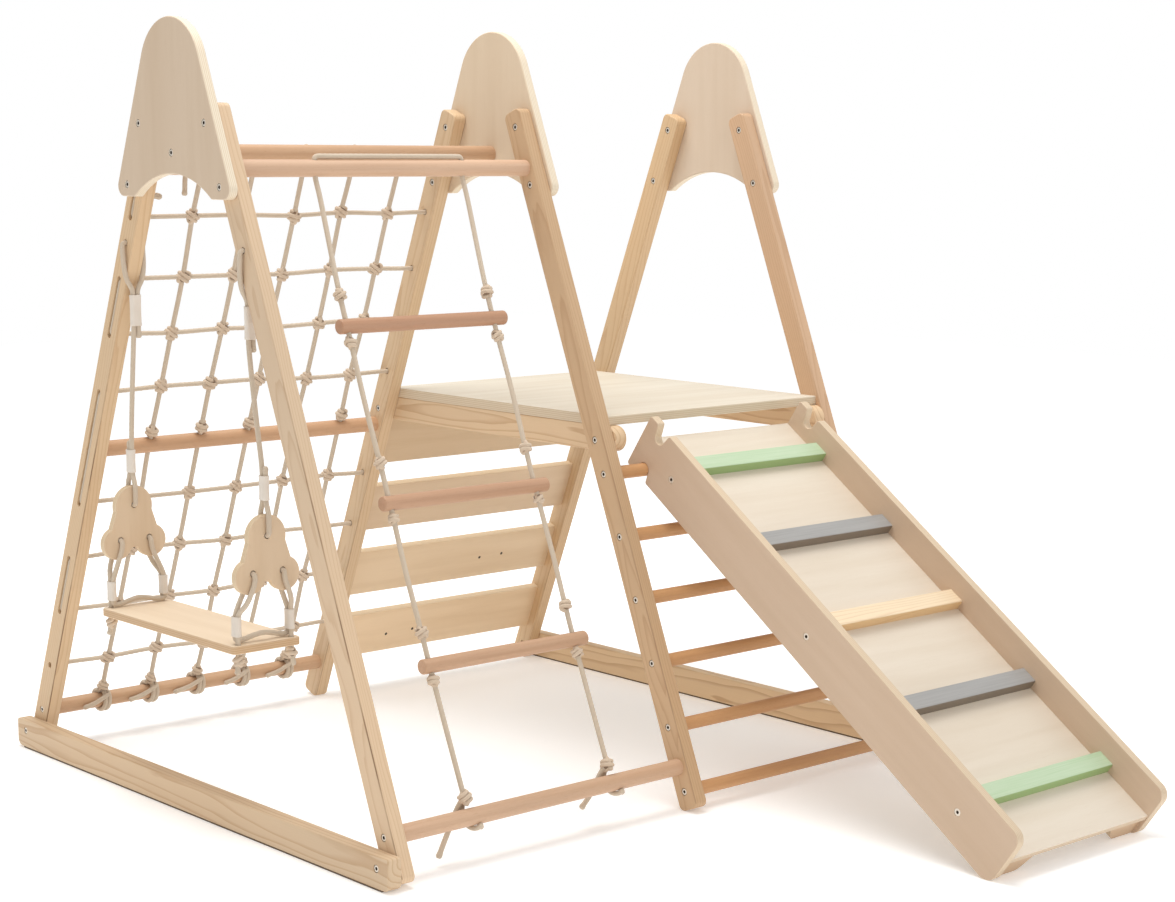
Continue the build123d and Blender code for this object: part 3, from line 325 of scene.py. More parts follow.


# How far the dark line along a leg's corner lies in front of its leg's axis, and how far behind the left face it
# still shows.
CORNER_LINE_FROM_AXIS = 0.0224
CORNER_LINE_REACH = 0.0022


def leg_corner_line(shader, left_x, side, darkness):
    """A mask for a line a millimetre wide beside the front edge of a leg's left face, fainter high up."""
    place = shader.add("ShaderNodeTexCoord", output=3)
    across = shader.dot(place, (0, side * math.cos(LEAN), math.sin(LEAN)))
    edge = HALF_SPREAD * math.cos(LEAN) - side * CORNER_LINE_FROM_AXIS
    off_line = shader.math("ABSOLUTE", shader.math("SUBTRACT", across, edge))
    near = shader.fade(shader.math("MULTIPLY", off_line, 400.0), 0.1, 0.55, 1.0, 0.0)
    parts = shader.add("ShaderNodeSeparateXYZ", {"Vector": place})
    on_left = shader.math("LESS_THAN", parts.node.outputs[0], left_x + CORNER_LINE_REACH)
    patchy = shader.fade(shader.noise(place, 9.0, 3.0), 0.3, 0.6, 0.35)
    mask = shader.math("MULTIPLY", shader.math("MULTIPLY", near, on_left), patchy)
    low_part = shader.fade(parts.node.outputs[2], 0.6, 0.82, 1.0, 0.2)
    mask = shader.math("MULTIPLY", mask, low_part)
    return shader.math("MULTIPLY", mask, darkness)


# The thickness of a light and a dark veneer together.
VENEER_PAIR = 0.0036
MARK_R = 0.0032


def plywood(node, turn, seed, face, edge, thickness_axis, strength=0.5, marks=()):
    """Sanded plywood: calm long figure on the faces, and stacked veneers on the edges.

    Strength is how much the figure shows, and the marks are the (x, z) of small dark pin holes."""
    shader = Shader(f"plywood_{node}", 0.52, 0.3)
    where = grain_space(shader, turn, seed)
    figure = shader.noise(shader.scaled(where, (34, 34, 2.6)), 1.0, 4.0, 0.55)
    flow = shader.noise(shader.scaled(where, (8, 8, 1.4)), 1.0, 2.0)
    pores = shader.noise(shader.scaled(where, (1300, 1300, 40)), 1.0, 2.0, 0.7)
    light = tuple(min(1.0, c * 1.05) for c in linear(face))
    dark = (*deeper(linear(face), (0.88, 0.82, 0.74)), 1)
    color = shader.mix(shader.fade(figure, 0.42, 0.72, 0.0, strength), (*light, 1), dark)
    color = shader.mix(shader.fade(flow, 0.35, 0.75, 0.0, 0.35), color, dark)
    color = shader.mix(shader.fade(pores, 0.56, 0.75, 0.0, 0.3), color, dark)
    normal = shader.add("ShaderNodeNewGeometry", output=1)
    on_edge = shader.fade(shader.math("ABSOLUTE", shader.dot(normal, thickness_axis)), 0.3, 0.85, 1.0, 0.0)
    place = shader.add("ShaderNodeTexCoord", output=3)
    depth = shader.dot(place, thickness_axis)
    waver = shader.math("MULTIPLY", shader.noise(shader.scaled(place, (60, 60, 60)), 1.0), 0.0008)
    layer = shader.math("FRACT", shader.math("DIVIDE", shader.math("ADD", depth, waver), VENEER_PAIR))
    pale = linear(edge)
    veneers = shader.ramp(layer, [(0.0, pale), (0.42, pale), (0.5, deeper(pale, (0.86, 0.8, 0.7))),
                                  (0.92, deeper(pale, (0.9, 0.86, 0.8))), (1.0, pale)])
    color = shader.mix(on_edge, color, veneers)
    for x, z in marks:
        across = shader.scaled(place, (1, 0, 1))
        reach = shader.add("ShaderNodeVectorMath", {0: across, 1: (x, 0, z)}, output=1, operation="DISTANCE")
        color = shader.mix(shader.math("LESS_THAN", reach, MARK_R), color, (0.045, 0.028, 0.016, 1))
    height = shader.math("ADD", figure, shader.math("MULTIPLY", pores, 0.6))
    shader.bump(height, 0.12, 0.0003)
    return shader.finish(color)


def beech(node, seed, tone):
    """Turned hardwood along X: pinkish, with short dark flecks and a faint long streak."""
    shader = Shader(f"beech_{node}", 0.46)
    where = grain_space(shader, ALONG_X, seed)
    streak = shader.noise(shader.scaled(where, (120, 120, 3)), 1.0, 4.0, 0.6)
    fleck = shader.noise(shader.scaled(where, (1100, 1100, 90)), 1.0, 2.0, 0.5)
    broad = shader.noise(shader.scaled(where, (12, 12, 2)), 1.0, 1.0)
    dark = (*deeper(linear(tone), (0.8, 0.7, 0.62)), 1)
    color = shader.mix(shader.fade(streak, 0.4, 0.75, 0.0, 0.55), opaque(tone), dark)
    color = shader.mix(shader.fade(fleck, 0.6, 0.72, 0.0, 0.5), color, dark)
    pale = shader.ramp(broad, [(0.35, (0.95, 0.93, 0.92)), (0.7, (1.06, 1.04, 1.03))])
    color = shader.mix(1.0, color, pale, "MULTIPLY")
    shader.bump(shader.math("ADD", streak, fleck), 0.12, 0.0003)
    return shader.finish(color)


def painted(node, seed, top, shade, foot_face_shade):
    """Thin paint on a ramp bar: an even colour with a trace of grain under it.

    Top is the paint, shade what it turns to in the grain and in broad patches, and the last colour is painted shade
    on the face towards the foot of the ramp."""
    shader = Shader(f"painted_{node}", 0.48, 0.4)
    where = grain_space(shader, ALONG_X, seed)
    grain = shader.noise(shader.scaled(where, (420, 420, 7)), 1.0, 3.0, 0.6)
    broad = shader.noise(shader.scaled(where, (30, 30, 6)), 1.0, 2.0)
    color = shader.mix(shader.fade(grain, 0.4, 0.72, 0.0, 0.5), opaque(top), opaque(shade))
    color = shader.mix(shader.fade(broad, 0.4, 0.8, 0.0, 0.3), color, opaque(shade))
    # Painted shade: the face towards the foot of the ramp is darker.
    color = shader.mix(towards_foot_shade_mask(shader), color, opaque(foot_face_shade))
    shader.bump(grain, 0.18, 0.0003)
    return shader.finish(color)


def rope_material(name, light, dark, deep):
    """Off-white cotton with a fine plain braid and a matt felted surface.

    Light and dark are its yarns' colours, and deep is the painted shade they turn to inside a knot."""
    shader = Shader(name, 0.92, 0.1)
    where = shader.add("ShaderNodeTexCoord", output=2)
    yarn = shader.add("ShaderNodeTexWave", {"Vector": where, "Scale": 5.0, "Distortion": 1.2, "Detail": 2.0},
                      output=1, wave_type="BANDS", bands_direction="DIAGONAL")
    place = shader.add("ShaderNodeTexCoord", output=3)
    fuzz = shader.noise(place, 1100.0, 3.0, 0.7)
    tone = shader.noise(place, 14.0, 2.0)
    color = shader.mix(shader.math("MULTIPLY", yarn, 0.2), opaque(light), opaque(dark))
    patch = tuple((a + 0.6 * b) / 1.6 for a, b in zip(light, dark))
    color = shader.mix(shader.fade(tone, 0.35, 0.75, 0.0, 0.4), color, opaque(patch))
    # Painted shade inside the knots, as strong as the rope's knot attribute says.
    knot_shade = shader.add("ShaderNodeAttribute", output=2, attribute_name="knot_shade", attribute_type="GEOMETRY")
    color = shader.mix(shader.math("MULTIPLY", knot_shade, 0.8), color, opaque(deep))
    shader.bsdf.inputs["Sheen Weight"].default_value = 0.2
    shader.bsdf.inputs["Sheen Roughness"].default_value = 0.6
    shader.bump(shader.math("ADD", fuzz, shader.math("MULTIPLY", yarn, 0.8)), 0.5, 0.0004)
    return shader.finish(color)


def sleeve_material():
    """Shrunk off-white tape round two ropes."""
    shader = Shader("sleeve_tape", 0.6, 0.25)
    place = shader.add("ShaderNodeTexCoord", output=3)
    weave = shader.add("ShaderNodeTexWave", {"Vector": place, "Scale": 260.0, "Distortion": 0.8}, wave_type="BANDS",
                       bands_direction="Z")
    tone = shader.noise(place, 40.0, 2.0)
    color = shader.mix(shader.math("MULTIPLY", tone, 0.5), opaque((236, 226, 214)), opaque((206, 192, 174)))
    shader.bump(weave, 0.35, 0.0003)
    return shader.finish(color)


# How far under the wood's face the flat of a screw head lies, and how far off that still counts as flat.
HEAD_SINK = 0.0008
FLAT_DEPTH = 0.00013
# The x of the wooden faces that the screw heads sit in, and which way each group is driven.
FRAME_HEADS = [(x, 1) for x in (-0.014, -0.004, 0.0245, *LEG_LEFT_X)]
FRAME_HEADS += [(x, -1) for x in (0.702, 0.720, 1.296, 1.324)]
RAMP_HEADS = [(0.775, 1), (1.195, -1)]


def steel_material(node, heads):
    """Plated screws: bright on the flat of each head, with painted shade in the socket and round the rim."""
    shader = Shader(f"plated_{node}", 0.42, 0.5)
    place = shader.add("ShaderNodeTexCoord", output=3)
    tone = shader.noise(place, 700.0, 2.0)
    shader.bsdf.inputs["Metallic"].default_value = 0.6
    bright = shader.mix(tone, (0.70, 0.63, 0.54, 1), (0.86, 0.79, 0.69, 1))
    parts = shader.add("ShaderNodeSeparateXYZ", {"Vector": place})
    on_flat = 0.0
    for x, into in heads:
        flat_x = x + into * HEAD_SINK - NODES[node].matrix_world.translation.x
        off_flat = shader.math("ABSOLUTE", shader.math("SUBTRACT", parts, flat_x))
        on_flat = shader.math("ADD", on_flat, shader.math("LESS_THAN", off_flat, FLAT_DEPTH))
    # Everything off the flat of a head, the socket and the rim, is painted near black as shade.
    color = shader.mix(on_flat, (0.085, 0.06, 0.04, 1), bright)
    shader.bump(tone, 0.2, 0.0002)
    return shader.finish(color)


def pad_material():
    """Dark ribbed anti-slip strip."""
    shader = Shader("dark_strip", 0.8, 0.2)
    place = shader.add("ShaderNodeTexCoord", output=3)
    rib = shader.add("ShaderNodeTexWave", {"Vector": place, "Scale": 90.0}, wave_type="BANDS", bands_direction="X")
    tone = shader.noise(place, 200.0, 2.0)
    color = shader.mix(tone, (0.13, 0.092, 0.064, 1), (0.20, 0.145, 0.10, 1))
    shader.bump(rib, 0.4, 0.0004)
    return shader.finish(color)


def dress(node, material):
    """Puts one material on a CAD node, in place of what it came with."""
    mesh = NODES[node].data
    mesh.materials.clear()
    mesh.materials.append(material)


# ---------------------------------------------------------------- materials of the CAD nodes
# For each leg frame from the left: how dark the fine lines along its legs' corners are, the light and dark of its
# front and back legs, and the face of its peak plate.
FRAMES = (
    ("left", 0.85, ((224, 198, 167), (188, 148, 107)), ((222, 194, 158), (184, 140, 95)), (208, 187, 163)),
    ("middle", 0.45, ((208, 175, 138), (164, 117, 75)), ((222, 194, 158), (184, 140, 95)), (219, 199, 173)),
    # The right frame's front leg is a pinker tone, painted darker as shade on its inner side.
    ("right", 0.3, ((211, 176, 143), (172, 127, 88)), ((215, 185, 147), (178, 132, 88)), (211, 192, 171)),
)
PLATE_EDGE = (236, 223, 202)
# The right foot rail is painted lighter than the left, to offset the shade of the ramp and the deck on it.
BEAMS = (("left_foot_rail", (224, 198, 165)), ("right_foot_rail", (240, 212, 174)),
         ("left_deck_beam", (232, 203, 166)), ("right_deck_beam", (232, 203, 166)))
# The faces of the back slats from the top, painted lighter towards the bottom to offset the shade that the ramp
# casts on the lower ones, and the nail marks that two of them show.
SLAT_FACES = ((211, 186, 154), (218, 194, 165), (228, 204, 172), (235, 209, 175))
SLAT_MARKS = {2: [(1.062, 0.275), (1.125, 0.277)], 3: [(0.847, 0.119), (0.919, 0.121)]}
DOWELS = {
    "front_top_dowel": (211, 178, 150), "back_top_dowel": (202, 167, 134), "ridge_dowel": (202, 167, 134),
    "middle_net_dowel": (202, 163, 128), "bottom_net_dowel": (202, 167, 134),
    "bottom_ladder_dowel": (206, 173, 144), "slat_pins": (202, 167, 134),
    # The front rungs under the ramp are an orange tone, painted brighter to offset the ramp's shade.
    **{f"front_rung_{i + 1}": (208, 161, 114) for i in range(6)},
    # The lowest ladder rung is painted darker than the other two, as shade.
    "ladder_rung_1": (186, 146, 118), "ladder_rung_2": (196, 158, 129), "ladder_rung_3": (200, 164, 134),
}
# Each paint: its top colour, its colour in the grain and in patches, and painted shade for the face towards the foot
# of the ramp.
GREEN = ((195, 213, 182), (167, 197, 150), (153, 180, 120))
GREY = ((170, 168, 165), (146, 144, 141), (126, 113, 99))


def dress_frames():
    """The three leg frames with their peak plates, the rails and beams, the back slats and all the dowels."""
    for i, (name, darkness, front, back, face) in enumerate(FRAMES):
        node = f"{name}_front_leg"
        dress(node, pine(node, FRONT_LEG, 11 + i, *front, pith=0.045, corner_line=(LEG_LEFT_X[i], -1, darkness)))
        node = f"{name}_back_leg"
        dress(node, pine(node, BACK_LEG, 21 + i, *back, pith=0.06, corner_line=(LEG_LEFT_X[i], 1, darkness)))
        node = f"{name}_peak_plate"
        dress(node, plywood(node, ALONG_Z, 31 + i, face, PLATE_EDGE, (1, 0, 0), 0.3))
    for i, (node, light) in enumerate(BEAMS):
        dress(node, pine(node, ALONG_Y, 41 + i, light, ring=0.011, pith=0.03, depth=0.5))
    for i, face in enumerate(SLAT_FACES):
        node = f"back_slat_{i + 1}"
        dress(node, plywood(node, ALONG_X, 61 + i, face, (224, 202, 172), tuple(OUT_BACK), 0.6,
                            SLAT_MARKS.get(i, ())))
    for i, (node, tone) in enumerate(DOWELS.items()):
        dress(node, beech(node, 101 + i, tone))


def dress_boards():
    """The boards of the swing, the deck and the ramp, and the ramp's five bars."""
    dress("swing_seat", plywood("swing_seat", ALONG_Y, 47, (240, 219, 191), (212, 180, 144), (0, 0, 1), 0.4))
    for i, node in enumerate(("swing_front_side_plate", "swing_back_side_plate")):
        dress(node, plywood(node, ALONG_Z, 81 + i, (216, 192, 163), (224, 202, 171), (0, 1, 0), 0.6))
    dress("deck_board", plywood("deck_board", ALONG_X, 51, (222, 213, 196), (218, 202, 178), (0, 0, 1)))
    for node in ("ramp_left_panel", "ramp_right_panel"):
        dress(node, plywood(node, DOWN_THE_RAMP, 71, (203, 179, 155), (222, 202, 176), (1, 0, 0), 0.3))
    dress("ramp_board", plywood("ramp_board", ALONG_X, 75, (223, 211, 194), (216, 196, 172), OFF_THE_RAMP, 0.35))
    dress("ramp_foot_rail", plywood("ramp_foot_rail", ALONG_X, 76, (206, 178, 148), (212, 190, 162), TOWARDS_FOOT))
    for node, seed, paint in (("ramp_bar_1", 121, GREEN), ("ramp_bar_5", 122, GREEN),
                              ("ramp_bar_2", 123, GREY), ("ramp_bar_4", 124, GREY)):
        dress(node, painted(node, seed, *paint))
    # The natural bar's face towards the foot of the ramp is darkened a little with painted shade.
    dress("ramp_bar_3", pine("ramp_bar_3", ALONG_X, 125, (247, 228, 197), (208, 166, 118), ring=0.007,
                             foot_face_shade=(240, 222, 196)))


# ---------------------------------------------------------------- rope building
def leg_y(side, z):
    """The y of the legs' axes at a height; side is -1 for the front legs and 1 for the back ones."""
    return side * (HALF_SPREAD - z * math.tan(LEAN))


def hang(x, z, side):
    """A point in the plane of the front or the back legs' axes."""
    return Vector((x, leg_y(side, z), z))


def smooth_line(points):
    """The points of a smooth curve along a route, close together."""
    data = bpy.data.curves.new("route", "CURVE")
    data.dimensions = "3D"
    data.resolution_u = 12
    spline = data.splines.new("NURBS")
    spline.points.add(len(points) - 1)
    for point, place in zip(spline.points, points):
        point.co = (*place, 1)
    spline.order_u = 3
    spline.use_endpoint_u = True
    holder = put_in_scene("route", data)
    bpy.context.view_layer.update()
    mesh = bpy.data.meshes.new_from_object(holder)
    line = [vertex.co.copy() for vertex in mesh.vertices]
    bpy.data.objects.remove(holder)
    bpy.data.curves.remove(data)
    bpy.data.meshes.remove(mesh)
    return line


def even_line(line, step):
    """The same line with points a fixed step apart."""
    result = [line[0].copy()]
    carry = 0.0
    for a, b in zip(line, line[1:]):
        length = (b - a).length
        if length < 1e-9:
            continue
        reach = step - carry
        while reach <= length:
            result.append(a.lerp(b, reach / length))
            reach += step
        carry = (carry + length) % step
    if (result[-1] - line[-1]).length > step * 0.3:
        result.append(line[-1].copy())
    return result


RING = 12
BRAID_PITCH = 0.011
# How wide a rope's last two rings are at either end, as a share of the rest.
CAP = (0.55, 0.85)


class RopeMesh:
    """Collects soft braided ropes into one mesh, with UVs along and round them."""

    def __init__(self):
        self.verts = []
        self.faces = []
        self.uvs = []
        self.knot_shade = []

    def rope(self, line, diameter=ROPE_D, step=0.0024, phase=0.0, fray=0.0, knot_shade=0.0):
        """Adds a rope along a line; its ends are rounded, or splayed a little by fray.

        The last argument, from 0 to 1, says how deep inside a knot the rope lies, and so how much painted shade
        darkens it."""
        line = even_line(line, step)
        count = len(line)
        tangent = (line[1] - line[0]).normalized()
        side = tangent.orthogonal().normalized()
        start = len(self.verts)
        along = 0.0
        for i, place in enumerate(line):
            ahead = line[min(i + 1, count - 1)] - line[max(i - 1, 0)]
            tangent = ahead.normalized()
            side = (side - tangent * side.dot(tangent)).normalized()
            other = tangent.cross(side)
            if i:
                along += (place - line[i - 1]).length
            end = min(i, count - 1 - i)
            cap = CAP[end] if end < len(CAP) else 1.0
            swell = 1.0 + fray * max(0.0, 1 - (count - 1 - i) / 5)
            for k in range(RING):
                turn = 2 * math.pi * k / RING
                plait = math.cos(3 * turn) * math.cos(2 * math.pi * along / BRAID_PITCH + phase)
                radius = diameter / 2 * (0.965 + 0.035 * plait) * cap * swell
                self.verts.append(place + (side * math.cos(turn) + other * math.sin(turn)) * radius)
                self.knot_shade.append(knot_shade)
        for i in range(count - 1):
            for k in range(RING):
                a = start + i * RING + k
                b = start + i * RING + (k + 1) % RING
                self.faces.append((a, b, b + RING, a + RING))
                u0, u1 = k / RING, (k + 1) / RING
                v0, v1 = i * step / 0.01, (i + 1) * step / 0.01
                self.uvs += [(u0, v0), (u1, v0), (u1, v1), (u0, v1)]
        for first, order in ((start, -1), (start + (count - 1) * RING, 1)):
            self.faces.append(tuple(range(first, first + RING))[::order])
            self.uvs += [(0.5, 0.5)] * RING

    def build(self, name, material):
        """The ropes so far as one piece of the scene."""
        mesh = bpy.data.meshes.new(name)
        mesh.from_pydata(self.verts, [], self.faces)
        uv = mesh.uv_layers.new(name="UVMap")
        uv.data.foreach_set("uv", [c for pair in self.uvs for c in pair])
        knot_shade = mesh.attributes.new("knot_shade", "FLOAT", "POINT")
        knot_shade.data.foreach_set("value", self.knot_shade)
        mesh.materials.append(material)
        mesh.shade_smooth()
        piece = put_in_scene(name, mesh)
        return piece


def wrap_knot(mesh, centre, axis, size, seed, turns=2.3):
    """A hitch: rope wound tightly round a crossing, one strand laid aslant over the turns, on a solid heart."""
    spot = random.Random(seed)
    axis = axis.normalized()
    first = axis.orthogonal().normalized()
    second = axis.cross(first)
    start = spot.uniform(0, 2 * math.pi)
    heart = size * 0.33
    # The heart lies deep in the knot and gets full painted shade.
    mesh.rope([centre + axis * heart * (2 * i / 8 - 1) for i in range(9)], heart * 1.9, heart * 0.24, start, 0, 1.0)
    wide = (size - KNOT_ROPE_D) / 2
    climb = KNOT_ROPE_D * 0.92 * turns
    line = []
    steps = int(24 * turns)
    for i in range(steps + 1):
        t = i / steps
        angle = start + 2 * math.pi * turns * t
        waist = wide * (1 - 0.30 * (2 * t - 1) ** 2) + 0.0006 * math.sin(3 * angle)
        line.append(centre + axis * (t - 0.5) * climb + (first * math.cos(angle) + second * math.sin(angle)) * waist)
    mesh.rope(line, KNOT_ROPE_D, 0.0022, start)
    lean = axis * spot.choice((-1, 1)) * 0.62 + first * math.cos(start) + second * math.sin(start)
    across = lean.normalized()
    other = across.cross(axis).normalized()
    line = []
    for i in range(29):
        angle = start + 2 * math.pi * (i / 24 - 0.08)
        line.append(centre + (across * math.cos(angle) + axis * math.sin(angle)) * wide * 0.98
                    + other * 0.0022 * math.sin(2 * angle))
    mesh.rope(line, KNOT_ROPE_D, 0.0022, start + 1)


# ---------------------------------------------------------------- net
COLUMNS = [0.144, 0.254, 0.364, 0.474, 0.584]
ROWS = [1.055, 0.943, 0.840, 0.731, 0.513, 0.400, 0.291, 0.176]
ROWS_ABOVE_DOWEL = 4
START_Z = 1.094
BOTTOM_DOWEL_Z = 0.079
TIE_R = DOWEL_R + ROPE_D / 2 + 0.0003
LEFT_GROOVE_X = 0.01925
RIGHT_GROOVE_X = 0.69675
UP_BACK = Vector((0, -math.sin(LEAN), math.cos(LEAN)))
UP_FRONT = Vector((0, math.sin(LEAN), math.cos(LEAN)))
OUT_BACK = Vector((0, math.cos(LEAN), math.sin(LEAN)))
OUT_FRONT = Vector((0, -math.cos(LEAN), math.sin(LEAN)))


def net_crossings():
    """Where rows and columns meet, each a few millimetres off a true grid."""
    spot = random.Random(3)
    return [[hang(x + spot.uniform(-0.004, 0.004), z + spot.uniform(-0.004, 0.004), 1) for x in COLUMNS]
            for z in ROWS]


def dowel_tie(mesh, x, tail):
    """A hitch round the bottom net dowel: two close turns, then a tail that lies along the dowel."""
    centre = hang(x, BOTTOM_DOWEL_Z, 1)
    up, out = UP_BACK, -OUT_BACK
    line = []
    steps = 40
    for i in range(steps + 1):
        angle = 4 * math.pi * i / steps
        shift = Vector((0.0176, 0, 0)) * (0.5 - i / steps)
        line.append(centre + shift + (up * math.cos(angle) + out * math.sin(angle)) * (TIE_R + 0.0002))
    mesh.rope(line, ROPE_D, 0.003)
    run = [centre + Vector((0.004, 0, 0)) + (up * 0.8 + out * 0.6) * (TIE_R + 0.007),
           centre + Vector((-0.016, 0, 0)) + (up * 0.55 + out * 0.83) * (TIE_R + 0.006),
           centre + Vector((-tail * 0.6, 0, 0)) + (up * 0.25 + out * 0.97) * (TIE_R + 0.001),
           centre + Vector((-tail, 0, 0)) + (up * 0.05 + out) * (TIE_R + 0.0015)]
    mesh.rope(smooth_line(run), ROPE_D, 0.0024, 0.5, 0.25)


def build_net(cotton, knotted):
    """Five upright ropes, one rope to and fro across them, and a knot wherever the two meet."""
    crossings = net_crossings()
    columns = RopeMesh()
    for j, x in enumerate(COLUMNS):
        route = [hang(x, 1.166, 1), hang(x, 1.112, 1)]
        route += [row[j] for row in crossings[:ROWS_ABOVE_DOWEL]]
        route += [hang(x, 0.648, 1), hang(x, 0.6185, 1), hang(x, 0.590, 1)]
        route += [row[j] for row in crossings[ROWS_ABOVE_DOWEL:]]
        route += [hang(x, 0.112, 1)]
        columns.rope(smooth_line(route))
        dowel_tie(columns, x + 0.003, 0.052 + 0.006 * (j % 3))
    verticals = columns.build("net_columns", cotton)
    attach(verticals, "root")
    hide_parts("net_vertical_ropes")

    cross = RopeMesh()
    bend = 0.017
    route = [hang(0.070, START_Z - 0.003, 1), hang(0.062, START_Z, 1), hang(0.042, START_Z, 1),
             hang(LEFT_GROOVE_X + bend, START_Z, 1),
             hang(LEFT_GROOVE_X, START_Z, 1), hang(LEFT_GROOVE_X, START_Z - bend, 1)]
    for i, z in enumerate(ROWS):
        near, far = LEFT_GROOVE_X, RIGHT_GROOVE_X
        inward = bend
        knots = crossings[i]
        if i % 2:
            near, far = far, near
            inward = -bend
            knots = knots[::-1]
        if i:
            route.append(hang(near, z + bend, 1))
        route += [hang(near, z, 1), hang(near + inward, z, 1), hang(near + 3 * inward, z, 1)]
        route += knots
        route += [hang(far - 3 * inward, z, 1), hang(far - inward, z, 1), hang(far, z, 1)]
        if i < len(ROWS) - 1:
            route.append(hang(far, z - bend, 1))
    cross.rope(smooth_line(route), ROW_D)
    # The start of the rope is fat where it was cut, and another cut end hangs from the back top dowel.
    fat_end = [hang(0.046 + 0.003 * i, START_Z - 0.0005 * i, 1) for i in range(9)]
    cross.rope(fat_end, ROPE_D * 1.12, 0.0024, 0.3, 0.2)
    end_y = leg_y(1, 1.118)
    cross.rope(smooth_line([Vector((0.113, end_y - 0.003, 1.134)), Vector((0.112, end_y - 0.001, 1.118)),
                            Vector((0.1125, end_y, 1.104)), Vector((0.111, end_y, 1.092))]), ROPE_D, 0.002, 0.3, 0.3)
    serpentine = cross.build("net_rows", cotton)
    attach(serpentine, "root")
    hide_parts("net_cross_rope")

    knots = RopeMesh()
    spot = random.Random(5)
    for j, x in enumerate(COLUMNS):
        for i in range(len(ROWS)):
            lean = spot.uniform(-0.25, 0.25)
            axis = Vector((0.5 + lean, 0, 0)) + UP_BACK * 0.87
            wrap_knot(knots, crossings[i][j], axis, 0.029, 100 + 10 * i + j)
        wrap_knot(knots, hang(x, 0.6455, 1), UP_BACK + Vector((0.3, 0, 0)), 0.027, 200 + j, 2.2)
        wrap_knot(knots, hang(x, 1.170, 1), UP_BACK + Vector((0.2, 0, 0)), 0.027, 220 + j, 2.2)
        wrap_knot(knots, hang(x, 0.109, 1), UP_BACK + Vector((0.5, 0, 0)), 0.025, 240 + j, 2.0)
    ball = knots.build("net_knot_set", knotted)
    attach(ball, "root")
    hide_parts("net_knots")


# ---------------------------------------------------------------- rope ladder
TOP_DOWEL_Z = 1.144
LADDER_TAILS = (
    [(0.190, -0.556, 0.112), (0.186, -0.551, 0.105), (0.180, -0.545, 0.088), (0.172, -0.545, 0.071),
     (0.160, -0.547, 0.053), (0.148, -0.549, 0.034), (0.137, -0.551, 0.015)],
    [(0.510, -0.556, 0.112), (0.506, -0.551, 0.105), (0.497, -0.545, 0.084), (0.488, -0.545, 0.068),
     (0.477, -0.547, 0.057), (0.455, -0.550, 0.040)],
)
# The x, z, size and turns of each knot, down one side and then down the other.
LADDER_KNOTS = (
    (0.187, 0.930, 0.025, 2.2), (0.185, 0.851, 0.024, 2.0), (0.186, 0.652, 0.025, 2.2), (0.185, 0.560, 0.022, 1.8),
    (0.186, 0.376, 0.025, 2.2), (0.186, 0.299, 0.024, 2.0), (0.192, 0.110, 0.027, 2.4),
    (0.509, 0.924, 0.025, 2.2), (0.508, 0.847, 0.024, 2.0), (0.508, 0.652, 0.025, 2.2), (0.508, 0.563, 0.022, 1.8),
    (0.508, 0.380, 0.025, 2.2), (0.508, 0.300, 0.024, 2.0), (0.512, 0.110, 0.027, 2.4),
)


